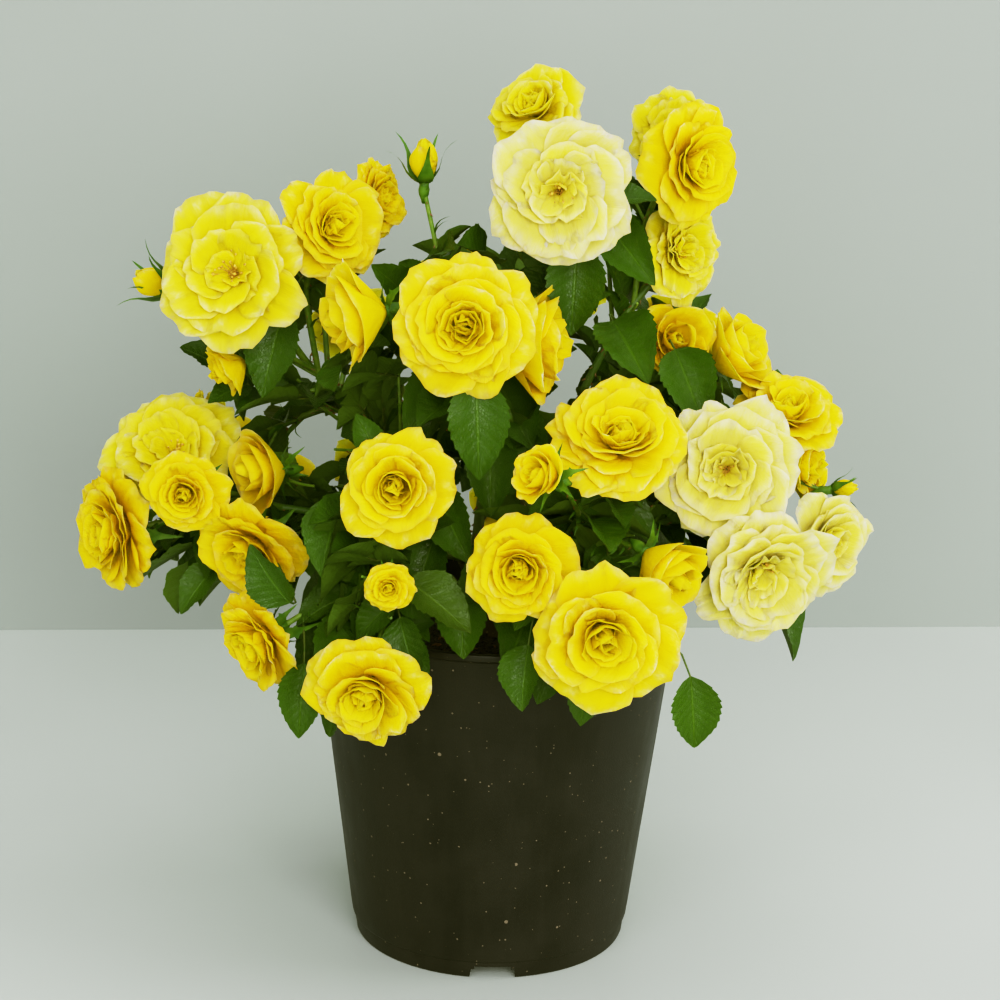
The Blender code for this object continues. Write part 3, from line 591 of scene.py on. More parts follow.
@dataclass(frozen=True)
class PotPlastic(Finish):
    """Black moulded plastic that has been about: dusty, splashed and lightly rubbed."""

    plastic: Triple = (0.0052, 0.0044, 0.0046)
    film: Triple = (0.031, 0.027, 0.024)
    grit: Triple = (0.34, 0.27, 0.19)
    roughness: float = 0.34

    def material(self, effects: Effects) -> Material:
        """Builds the plastic, dirtiest at the foot."""
        made = Surface("pot_plastic")
        w = made.wires
        place = w.object_place()
        height = w.part(place, 2)
        streaks = w.stretched(place, 1.0, 1.0, 0.12)
        film = effects.mottle.use(w, "Level", Place=place, Scale=26.0, Low=0.0, High=0.30)
        runs = effects.mottle.use(w, "Level", Place=streaks, Scale=120.0, Low=0.0, High=0.16)
        foot = w.ramp(height, 0.045, 0.0, 0.0, 0.34)
        soiled = w.plus(w.plus(film, runs), w.times(foot, w.noise(place, 90.0, 4.0)))
        fine = effects.specks.use(w, "Mask", Place=place, Scale=700.0, Size=0.36, Share=0.07)
        coarse = effects.specks.use(w, "Mask", Place=place, Scale=230.0, Size=0.24, Share=0.035)
        specks = w.math("MAXIMUM", fine, coarse)
        colour = w.blend(w.times(soiled, 0.55), self.plastic, self.film)
        colour = w.blend(w.times(specks, 0.40), colour, self.grit)
        rough = w.plus(w.times(soiled, 0.40), self.roughness)
        rough = w.plus(rough, w.times(specks, 0.3))
        grain = w.times(w.noise(place, 1400.0, 2.0), 0.3)
        rings = w.stretched(place, 0.05, 0.05, 1.0)
        turned = w.times(w.noise(rings, 420.0, 3.0), 0.25)
        made.set(Base_Color=colour, Roughness=rough, IOR=1.49, Specular_IOR_Level=0.24)
        made.bump(w.plus(w.plus(grain, turned), w.times(specks, 0.8)), 0.00022)
        return made.material


@dataclass(frozen=True)
class Compost(Finish):
    """Dark potting soil, or its crumbs and fibres."""

    name: str
    dark: Triple
    light: Triple

    def material(self, effects: Effects) -> Material:
        """Builds the soil."""
        made = Surface(self.name)
        w = made.wires
        place = w.object_place()
        patch = effects.mottle.use(w, "Level", Place=place, Scale=340.0, Low=0.0, High=1.0)
        grains = w.noise(place, 1500.0, 4.0)
        colour = w.blend(w.times(patch, grains), self.dark, self.light)
        made.set(Base_Color=colour, Roughness=w.plus(w.times(grains, 0.2), 0.78))
        made.bump(w.plus(grains, w.noise(place, 380.0, 3.0)), 0.0010)
        return made.material


@dataclass(frozen=True)
class CaneBark(Finish):
    """Green rind that turns brown and corky towards the foot, with a red blush in the light."""

    fresh: Triple = (0.075, 0.170, 0.022)
    blush: Triple = (0.120, 0.060, 0.022)
    cork: Triple = (0.072, 0.048, 0.026)

    def material(self, effects: Effects) -> Material:
        """Builds the rind, which reads how old each part of a cane is from its age attribute."""
        made = Surface("cane_bark")
        w = made.wires
        place = w.object_place()
        age = w.put("ShaderNodeAttribute", out="Fac", attribute_name="age")
        cloud = w.noise(place, 70.0, 3.0)
        old = w.ramp(w.plus(age, w.times(cloud, 0.4)), 0.62, 1.10)
        red = effects.mottle.use(w, "Level", Place=place, Scale=34.0, Low=0.0, High=0.55)
        red = w.times(red, w.ramp(age, 0.10, 0.5, 0.25, 1.0))
        colour = w.blend(red, self.fresh, self.blush)
        colour = w.blend(old, colour, self.cork)
        pores = effects.specks.use(w, "Mask", Place=place, Scale=720.0, Size=0.5, Share=0.3)
        colour = w.blend(w.times(pores, 0.35), colour, (0.36, 0.30, 0.17))
        long = w.stretched(place, 1.0, 1.0, 0.2)
        ribs = w.noise(long, 900.0, 3.0)
        made.set(Base_Color=colour, Roughness=w.ramp(old, 0.0, 1.0, 0.42, 0.8))
        made.bump(w.plus(ribs, w.times(pores, 0.6)), 0.0004)
        return made.material


@dataclass(frozen=True)
class LeafBlade(Finish):
    """A rose leaflet: glossy, with a pale midrib and side veins, and a paler matt underside."""

    tone: Tone
    blade: Triple
    vein: Triple
    under: Triple
    roughness: float

    def material(self, effects: Effects) -> Material:
        """Builds the blade from its tile of the leaves' chart."""
        made = Surface(f"leaf_{self.tone.name.lower()}")
        w = made.wires
        chart = w.put("ShaderNodeUVMap", out="UV", uv_map=CHART)
        wide = effects.chart_place.use(w, "Across", Chart=chart)
        along = effects.chart_place.use(w, "Along", Chart=chart)
        aside = w.math("ABSOLUTE", wide)
        midrib = w.ramp(aside, 0.075, 0.018)
        # Side veins leave the midrib at an angle and curve up towards the tip.
        lean = w.math("SUBTRACT", along, w.times(w.math("POWER", aside, 0.85), 0.26))
        wave = w.math("COSINE", w.times(lean, 2 * math.pi * 8.5))
        veins = w.times(w.ramp(wave, 0.80, 1.0), w.ramp(aside, 0.95, 0.55))
        quilt = w.ramp(wave, 1.0, -0.6)
        net = w.put("ShaderNodeTexVoronoi", {"Vector": chart, "Scale": 60.0},
                    feature="DISTANCE_TO_EDGE")
        fine = w.ramp(net, 0.10, 0.0)
        patches = w.noise(chart, 9.0, 2.0)
        light = w.math("MAXIMUM", midrib, w.times(veins, 0.12))
        light = w.math("MAXIMUM", light, w.times(fine, 0.10))
        blade = w.blend(w.times(patches, 0.3), self.blade, self.vein)
        blade = w.blend(w.times(w.ramp(along, 0.8, 1.05), 0.15), blade, self.vein)
        face = w.blend(w.times(light, 0.55), blade, self.vein)
        back = w.blend(w.times(light, 0.5), self.under, self.vein)
        behind = w.put("ShaderNodeNewGeometry", out="Backfacing")
        made.set(
            Base_Color=w.blend(behind, face, back),
            Roughness=w.plus(w.times(behind, 0.25),
                             w.ramp(quilt, 0, 1, self.roughness + 0.1, self.roughness)),
            Specular_IOR_Level=0.28,
        )
        relief = w.math("SUBTRACT", w.times(quilt, 0.22), w.times(light, 0.6))
        relief = w.plus(relief, w.times(w.noise(chart, 26.0, 3.0), 0.8))
        made.bump(w.math("SUBTRACT", relief, w.times(fine, 0.25)), 0.0004)
        return made.material


@dataclass(frozen=True)
class PetalSkin(Finish):
    """Silky petals, deeper towards the heart, paler at the margin, fanned veins; painted light on
    inner whorls.
    """

    tint: Tint
    heart: Triple
    blade: Triple
    margin: Triple
    bleach: float
    tip: Triple = (0.93, 0.87, 0.50)
    # A brighter yellow painted on the inner whorls as light in the shaded heart.
    painted_heart_light: Triple = (1.0, 0.76, 0.008)

    def material(self, effects: Effects) -> Material:
        """Builds one tint from its row of the chart, whose columns run from guard to heart."""
        made = Surface(f"petal_{self.tint.name.lower()}")
        w = made.wires
        chart = w.put("ShaderNodeUVMap", out="UV", uv_map=CHART)
        feeds = {"Chart": chart, "Columns": PETAL_TILES[0], "Rows": PETAL_TILES[1]}
        wide = effects.chart_place.use(w, "Across", **feeds)
        along = effects.chart_place.use(w, "Along", **feeds)
        column = effects.chart_place.use(w, "Column", **feeds)
        depth = w.math("DIVIDE", column, PETAL_TILES[0] - 1)
        aside = w.math("ABSOLUTE", wide)
        local = w.point(wide, along, column)
        cloud = w.noise(local, 2.2, 3.0)
        # The veins fan out from the claw.
        fan = w.point(w.times(wide, 26.0), w.times(along, 2.2), column)
        veins = w.noise(fan, 1.0, 2.0)
        claw = w.ramp(w.plus(along, w.times(cloud, 0.22)), 0.62, 0.05)
        edge = w.math("MAXIMUM", w.ramp(along, 0.74, 1.0),
                      w.times(w.ramp(aside, 0.72, 1.0), w.ramp(along, 0.3, 0.7)))
        edge = w.times(edge, w.ramp(cloud, 0.25, 0.75, 0.25, 1.0))
        edge = w.times(edge, w.ramp(depth, 0.0, 0.9, self.bleach, self.bleach * 0.25))
        tips = w.times(w.ramp(along, 0.70, 1.0), w.ramp(cloud, 0.46, 0.68))
        tips = w.times(tips, w.ramp(depth, 0.04, 0.20, self.bleach, 0.0))
        colour = w.blend(w.times(claw, 0.75), self.blade, self.heart)
        # Painted light: inner whorls are mixed towards a brighter lemon that stands in for light in
        # the shaded heart.
        colour = w.blend(w.times(depth, 0.70), colour, self.painted_heart_light)
        colour = w.blend(edge, colour, self.margin)
        colour = w.blend(tips, colour, self.tip)
        colour = w.blend(w.times(w.ramp(veins, 0.35, 0.75), 0.12), colour, self.heart)
        made.set(
            Base_Color=colour, Roughness=w.ramp(veins, 0.2, 0.8, 0.52, 0.64),
            Specular_IOR_Level=0.06,
            Subsurface_Weight=0.60, Subsurface_Radius=(0.85, 0.85, 0.12), Subsurface_Scale=0.0050,
        )
        crinkle = w.point(w.times(wide, 5.0), w.times(along, 3.0), column)
        relief = w.plus(w.times(veins, 0.35), w.times(w.noise(crinkle, 1.0, 2.0), 0.9))
        made.bump(relief, 0.0006)
        return made.material


@dataclass(frozen=True)
class Herb(Finish):
    """Soft green or yellow tissue in small pieces: sepals, hips, stalks and stamens."""

    name: str
    dark: Triple
    light: Triple
    roughness: float
    scale: float = 260.0

    def material(self, effects: Effects) -> Material:
        """Builds the tissue."""
        made = Surface(self.name)
        w = made.wires
        place = w.object_place()
        level = effects.mottle.use(w, "Level", Place=place, Scale=self.scale, Low=0.0, High=1.0)
        grain = w.noise(place, 1800.0, 2.0)
        made.set(
            Base_Color=w.blend(level, self.dark, self.light),
            Roughness=w.plus(w.times(grain, 0.2), self.roughness - 0.1),
            Specular_IOR_Level=0.35,
        )
        made.bump(grain, 0.0002)
        return made.material


# The leaf greens: the blade, its veins, its underside and its roughness.
GREENS = {
    Tone.DARK: ((0.025, 0.070, 0.0008), (0.060, 0.132, 0.004), (0.076, 0.145, 0.012), 0.33),
    Tone.MIDDLE: ((0.030, 0.080, 0.0010), (0.068, 0.146, 0.004), (0.084, 0.156, 0.013), 0.35),
    Tone.FRESH: ((0.035, 0.092, 0.0013), (0.080, 0.164, 0.006), (0.094, 0.172, 0.016), 0.36),
    Tone.OLD: ((0.030, 0.066, 0.0010), (0.070, 0.124, 0.005), (0.078, 0.132, 0.012), 0.40),
}
# The petal yellows: the heart, the blade, the margin and how far the margin bleaches.
YELLOWS = {
    Tint.DEEP: ((0.98, 0.535, 0.002), (0.98, 0.555, 0.003), (0.96, 0.67, 0.040), 0.50),
    Tint.CLEAR: ((0.98, 0.560, 0.002), (0.98, 0.576, 0.003), (0.96, 0.70, 0.070), 0.60),
    Tint.SOFT: ((0.92, 0.60, 0.004), (0.86, 0.625, 0.010), (0.86, 0.74, 0.170), 0.75),
    Tint.CREAM: ((0.88, 0.67, 0.035), (0.84, 0.70, 0.125), (0.85, 0.77, 0.400), 0.80),
}
HERBS = (
    Herb("green_rind", (0.080, 0.168, 0.011), (0.155, 0.245, 0.028), 0.46),
    Herb("leaf_stalk", (0.048, 0.105, 0.012), (0.110, 0.140, 0.028), 0.5),
    Herb("sepal_green", (0.034, 0.110, 0.004), (0.085, 0.185, 0.012), 0.5, 180.0),
    Herb("stamens", (0.42, 0.20, 0.030), (0.80, 0.52, 0.085), 0.6, 900.0),
    Herb("prickles", (0.190, 0.045, 0.022), (0.210, 0.150, 0.050), 0.4, 120.0),
)


def direction(azimuth: float, elevation: float) -> Vector:
    """The unit vector of an azimuth, from -Y towards +X, and an elevation, in degrees."""
    a, e = math.radians(azimuth), math.radians(elevation)
    return Vector((math.sin(a) * math.cos(e), -math.cos(a) * math.cos(e), math.sin(e)))


def across(vector: Vector, axis: Vector) -> Vector:
    """The part of vector that is at right angles to axis, as a unit vector."""
    return (vector - axis * vector.dot(axis)).normalized()


def outwards(spot: Vector) -> Vector:
    """The level direction from the plant's middle to a spot."""
    return Vector((spot.x, spot.y, 0)).normalized()


def tipped(axis: Vector, out: Vector, angle: float) -> Vector:
    """The direction that leans from an axis towards another direction by an angle."""
    return out * math.sin(angle) + axis * math.cos(angle)


def round_axis(axis: Vector, turn: float) -> Vector:
    """The direction square to an axis that is turned round it by an angle."""
    side = axis.orthogonal().normalized()
    return tipped(side, axis.cross(side), turn)


def stray(dice: random.Random, spread: float = 1.0) -> Vector:
    """A random vector whose parts follow the bell curve."""
    return Vector([dice.gauss(0, spread) for _ in range(3)])


def taper(ends: Pair, count: int) -> list[float]:
    """Even steps from the first value to the last."""
    return [ends[0] + (ends[1] - ends[0]) * i / (count - 1) for i in range(count)]


class Line:
    """A run of points, measured along its length."""

    def __init__(self, points: list[Vector]) -> None:
        """Measures the run."""
        self.points = points
        self.lengths = [0.0]
        for before, after in zip(points, points[1:]):
            self.lengths.append(self.lengths[-1] + (after - before).length)

    @property
    def length(self) -> float:
        """The whole length."""
        return self.lengths[-1]

    def at(self, distance: float) -> Vector:
        """The point at a distance along the run."""
        distance = min(max(distance, 0.0), self.length)
        i = min(bisect.bisect_right(self.lengths, distance), len(self.points) - 1) - 1
        span = self.lengths[i + 1] - self.lengths[i]
        return self.points[i].lerp(self.points[i + 1], (distance - self.lengths[i]) / span)

    def tangent(self, distance: float) -> Vector:
        """The way the run heads at a distance along it."""
        return (self.at(distance + NUDGE) - self.at(distance - NUDGE)).normalized()

    def stretch(self, first: float, last: float, count: int) -> list[Vector]:
        """Evenly spaced points between two distances."""
        return [self.at(first + (last - first) * i / (count - 1)) for i in range(count)]


class Route(Line):
    """A smooth curve between two points."""

    STEPS = 32

    def __init__(self, start: Vector, leaving: Vector, end: Vector, arriving: Vector,
                 pull: float = 0.38) -> None:
        """Draws the curve.

        Args:
            start: Where it starts.
            leaving: The way it heads there.
            end: Where it ends.
            arriving: The way it heads there.
            pull: How far each heading is held, as a share of the distance.
        """
        reach = (end - start).length * pull
        a, b = start + leaving * reach, end - arriving * reach
        points = []
        for step in range(self.STEPS + 1):
            t = step / self.STEPS
            s = 1 - t
            points.append(s**3 * start + 3 * s * s * t * a + 3 * s * t * t * b + t**3 * end)
        super().__init__(points)


class Stem(Line):
    """Part of a route with a thickness: the chords that its solid follows, and the route itself."""

    def __init__(self, route: Route, first: float, last: float, rings: int, radii: Pair) -> None:
        """Cuts the stem out of its route.

        Args:
            route: The route that it follows.
            first: The distance along the route where it starts.
            last: The distance where it ends.
            rings: How many points its solid has.
            radii: Its radius at its start and its end.
        """
        super().__init__([route.at(first + (last - first) * i / (rings - 1)) for i in range(rings)])
        self.route, self.first, self.last, self.radii = route, first, last, radii


@dataclass
class PotSizes:
    """The nursery pot's sizes."""

    height: float = 0.183
    lip_radius: float = 0.095
    lip_height: float = 0.0045
    lip_proud: float = 0.0014
    wall: float = 0.0022
    foot_radius: float = 0.0705
    foot_height: float = 0.009
    foot_inset: float = 0.0009
    base: float = 0.0105
    channels: int = 4
    channel_width: float = 0.024
    channel_height: float = 0.0068
    channel_inner_end: float = 0.030
    channel_turn: float = math.radians(2)
    soil_top: float = 0.164
    soil_crown: float = 0.004

    def radius(self, height: float) -> float:
        """The wall's outer radius at a height, without the lip and the step of the foot."""
        top = self.lip_radius - self.lip_proud
        return self.foot_radius + (top - self.foot_radius) * height / self.height


POT = PotSizes()


class Leaflet(NamedTuple):
    """A leaflet: where its blade starts, the way it points and faces, and its length."""

    root: Vector
    points: Vector
    faces: Vector
    length: float

    @property
    def middle(self) -> Vector:
        """The middle of its midrib."""
        return self.root + self.points * self.length * 0.5


class GrownLeaf(NamedTuple):
    """A leaf as the places along its stalk, and its leaflets, the end one first."""

    stalk: list[Vector]
    leaflets: list[Leaflet]


@dataclass
class GrowthSizes:
    """The named sizes of the growth rule, as in the part's source."""

    knuckle_radius: float = 0.012
    knuckle_height: float = 0.020
    arm_length: float = 0.024
    cane_radii: Pair = (0.0036, 0.0023)
    bough_radii: Pair = (0.0026, 0.0021)
    stem_radii: Pair = (0.0021, 0.0017)
    twig_radii: Pair = (0.0010, 0.0012)
    peduncle_radii: Pair = (0.0010, 0.0014)
    cane_rise: float = math.radians(62)
    first_cane_at: float = math.radians(12)
    cane_share: float = 0.46
    bough_share: float = 0.42
    fork_angle: float = math.radians(45)
    ring_spacing: float = 0.020
    leaf_stalk: float = 0.034
    leaf_sizes: Pair = (1.12, 0.60)
    leaf_splay: Pair = (math.radians(30), math.radians(80))
    leaflet_length: float = 0.046
    leaflet_width: float = 0.68
    leaflet_fold: float = 0.10
    leaflet_droop: float = 0.16
    leaflets_apart: float = 0.016
    side_leaflet_scale: float = 0.82
    side_leaflets_at: float = 0.62
    side_leaflet_angle: float = math.radians(64)
    leaf_stalk_radius: float = 0.0007
    leaf_fork: float = 0.0015
    twig_length: Pair = (0.034, 0.056)
    twigs: int = 2
    twig_tries: int = 80
    leaves: int = 8
    leaf_tries: int = 900
    clear: float = 0.0015
    most_reach: float = 0.070
    crown_middle: Triple = (-0.005, -0.010, 0.240)
    skin_sharpness: float = 40.0
    skin_depth: float = 0.004
    hip_height: float = 0.010
    stalk_forks: Pair = (0.001, 0.022)
    # Carried on here: finer twigs and smaller leaves in the same masses.
    fine_twigs: int = 6
    fine_leaves: int = 17
    fine_sizes: Pair = (0.92, 0.46)
    fine_apart: float = 0.0125
    low_pair_at: float = 0.20
    low_pair_scale: float = 0.70


GROWTH = GrowthSizes()


def heart_of(limb: str) -> Vector:
    """The heart of the mass that a limb carries."""
    return next(Vector(m.heart) for m in MASSES if m.limb == limb)


def between(p: Vector, q: Vector, a: Vector, b: Vector) -> float:
    """The least distance between segments pq and ab.

    Args:
        p: The first segment's start.
        q: Its end.
        a: The second segment's start.
        b: Its end.

    Returns:
        The distance.
    """
    u, v, w = q - p, b - a, p - a
    uu, uv, vv, uw, vw = u.dot(u), u.dot(v), v.dot(v), u.dot(w), v.dot(w)
    det = uu * vv - uv * uv
    s = min(max((uv * vw - vv * uw) / det, 0), 1) if det > 1e-12 else 0
    t = min(max((uv * s + vw) / vv, 0), 1)
    s = min(max((uv * t - uw) / uu, 0), 1)
    return (w + u * s - v * t).length


def tree_of(spots: list[Vector]) -> KDTree:
    """A search tree of spots.

    Args:
        spots: The spots.

    Returns:
        The tree, which numbers them in their order.
    """
    tree = KDTree(len(spots))
    for i, spot in enumerate(spots):
        tree.insert(spot, i)
    tree.balance()
    return tree


def leaflet_corners(leaflet: Leaflet) -> tuple[list[Vector], Vector]:
    """The corners of a leaflet's outline from its left side round its tip, and its middle.

    Args:
        leaflet: The leaflet.

    Returns:
        Its three corners, and its middle.
    """
    root, points, faces, length = leaflet
    side = points.cross(faces)
    half = length * GROWTH.leaflet_width / 2
    lift = faces * length * GROWTH.leaflet_fold
    middle = root + points * length * 0.45
    tip = root + points * length - faces * length * GROWTH.leaflet_droop
    return [middle - side * half + lift, tip, middle + side * half + lift], middle


def plan_leaf(foot: Vector, points: Vector, faces: Vector, size: float) -> GrownLeaf:
    """A leaf by the source's rule.

    Args:
        foot: Where its stalk leaves the stem.
        points: The way it points.
        faces: The way it faces, roughly.
        size: Its size beside a usual leaf.

    Returns:
        The stalk and the end leaflet with its upper pair.
    """
    g = GROWTH
    faces = across(faces, points)
    side = points.cross(faces)
    end = foot + points * g.leaf_stalk * size
    leaflets = [Leaflet(end, points, faces, g.leaflet_length * size)]
    fork = foot.lerp(end, g.side_leaflets_at)
    for sign in (-1, 1):
        heading = tipped(points, side * sign, g.side_leaflet_angle)
        root = fork + side * sign * g.leaf_stalk_radius
        leaflets.append(Leaflet(root, heading, faces,
                                g.leaflet_length * size * g.side_leaflet_scale))
    return GrownLeaf([foot, fork - points * g.leaf_fork, fork + points * g.leaf_fork, end],
                     leaflets)


def leaflet_spots(leaflet: Leaflet) -> list[Vector]:
    """Places all over a leaflet.

    Args:
        leaflet: The leaflet.

    Returns:
        The places.
    """
    (left, tip, right), middle = leaflet_corners(leaflet)
    root = leaflet.root
    spots = [left, tip, right, middle, root.lerp(left, 0.5), root.lerp(right, 0.5)]
    return spots + [tip.lerp(left, 0.5), tip.lerp(right, 0.5), middle.lerp(tip, 0.5)]


class Space:
    """Which leaves and twigs each mass has room for."""

    def __init__(self, limbs: Iterable[Stem], stems: dict[str, tuple[Stem, list[Stem]]]) -> None:
        """Learns where everything stands.

        Args:
            limbs: The canes, boughs and arms.
            stems: Each mass's main stem and bloom stalks, by the mass's name.
        """
        self.own, self.others = {}, {}
        spots: dict[str, list[Vector]] = {}
        for mass in MASSES:
            leader, stalks = stems[mass.name]
            spots[mass.name] = leader.stretch(0, leader.length, 10)
            for stalk in stalks:
                spots[mass.name] += stalk.stretch(stalk.length * 0.2, stalk.length, 7)
            spots[mass.name] += [Vector(bloom.place) for bloom in mass.blooms]
            spots[mass.name] += [Vector(leaf.place) for leaf in mass.leaves]
        for name in spots:
            rest = [spot for other, found in spots.items() if other != name for spot in found]
            self.own[name], self.others[name] = tree_of(spots[name]), tree_of(rest)
        self.blooms = [
            (Vector(b.place), b.axis, b.width / 2, b.stage)
            for mass in MASSES for b in mass.blooms
        ]
        self.limbs = [
            (a, b, limb.radii[0]) for limb in limbs for a, b in zip(limb.points, limb.points[1:])
        ]
        self.middle = Vector(GROWTH.crown_middle)

    def in_cell(self, spot: Vector, owner: str) -> bool:
        """Whether a spot is nearer to its own mass's stems than to any other mass's."""
        near = self.own[owner].find(spot)[2]
        return near + GROWTH.clear < self.others[owner].find(spot)[2] and near < GROWTH.most_reach

    def in_crown(self, spot: Vector) -> bool:
        """Whether a spot is within the crown, whose skin passes through the blooms' faces.

        Args:
            spot: The spot.

        Returns:
            True if it is.
        """
        offset = spot - self.middle
        heading = offset.normalized()
        total = weights = 1e-9
        for place, _, _, _ in self.blooms:
            reach = place - self.middle
            weight = math.exp((heading.dot(reach.normalized()) - 1) * GROWTH.skin_sharpness)
            total += weight * reach.length
            weights += weight
        return offset.length < total / weights + GROWTH.skin_depth

    def in_bloom(self, spot: Vector) -> bool:
        """Whether a spot is inside a bloom.

        Args:
            spot: The spot.

        Returns:
            True if it is.
        """
        for place, facing, half, stage in self.blooms:
            offset = spot - (place - facing * half * stage.rim * 0.5)
            if offset.length_squared > 4 * half * half:
                continue
            along = offset.dot(facing)
            outward = math.sqrt(max(offset.length_squared - along * along, 0))
            deep = half * stage.heart * 0.62
            if (outward / (half + GROWTH.clear)) ** 2 + (along / (deep + GROWTH.clear)) ** 2 < 1:
                return True
        return False

    @staticmethod
    def in_pot(spot: Vector) -> bool:
        """Whether a spot is in the pot's wall, in its soil or outside and touching it.

        Args:
            spot: The spot.

        Returns:
            True if it is.
        """
        if spot.z > POT.height + GROWTH.clear:
            return False
        radius = math.hypot(spot.x, spot.y)
        clear = GROWTH.clear
        inside = radius < POT.radius(spot.z) - POT.wall - clear and spot.z > POT.soil_top + clear
        return not inside and radius < POT.lip_radius + clear

    @staticmethod
    def in_gap(spot: Vector) -> bool:
        """Whether a spot is in a line of sight that stays open.

        Args:
            spot: The spot.

        Returns:
            True if it is.
        """
        for start, end, radius in GAPS:
            a, b = Vector(start), Vector(end)
            along = (spot - a).dot(b - a) / (b - a).length_squared
            if 0 < along < 1 and (spot - a.lerp(b, along)).length < radius:
                return True
        return False

    def near_limb(self, points: list[Vector]) -> bool:
        """Whether any stretch between these points comes within reach of a cane or bough.

        Args:
            points: The points, in their order.

        Returns:
            True if one does.
        """
        for p, q in zip(points, points[1:]):
            for a, b, radius in self.limbs:
                if between(p, q, a, b) < radius + GROWTH.clear:
                    return True
        return False

    def open(self, spot: Vector) -> bool:
        """Whether a spot is in the crown's open room, whichever mass it falls to."""
        filled = self.in_pot(spot) or self.in_gap(spot) or not self.in_crown(spot)
        return not (filled or self.in_bloom(spot))

    def free(self, spots: list[Vector], owner: str) -> bool:
        """Whether all the spots are in the mass's own open room."""
        return all(self.open(spot) and self.in_cell(spot, owner) for spot in spots)

    def leaf_fits(self, leaf: GrownLeaf, owner: str) -> bool:
        """Whether a mass has room for a leaf.

        Args:
            leaf: The leaf.
            owner: The mass's name.

        Returns:
            True if it has.
        """
        stalk, leaflets = leaf
        spots = [spot for leaflet in leaflets for spot in leaflet_spots(leaflet)]
        if not self.free(spots, owner) or self.near_limb(stalk[1:]):
            return False
        if not self.in_cell(stalk[0].lerp(stalk[-1], 0.5), owner):
            return False
        for leaflet in leaflets:
            (left, tip, right), middle = leaflet_corners(leaflet)
            if self.near_limb([leaflet.root, middle, tip]) or self.near_limb([left, middle, right]):
                return False
        return True


@dataclass
class GrownMass:
    """What one mass has grown."""

    mass: Mass
    leader: Stem
    stalks: list[Stem]
    twigs: list[Stem] = field(default_factory=list)
    fine_twigs: list[Stem] = field(default_factory=list)
    spins: list[float] = field(default_factory=list)
    leaves: list[GrownLeaf] = field(default_factory=list)
    fine_leaves: list[GrownLeaf] = field(default_factory=list)


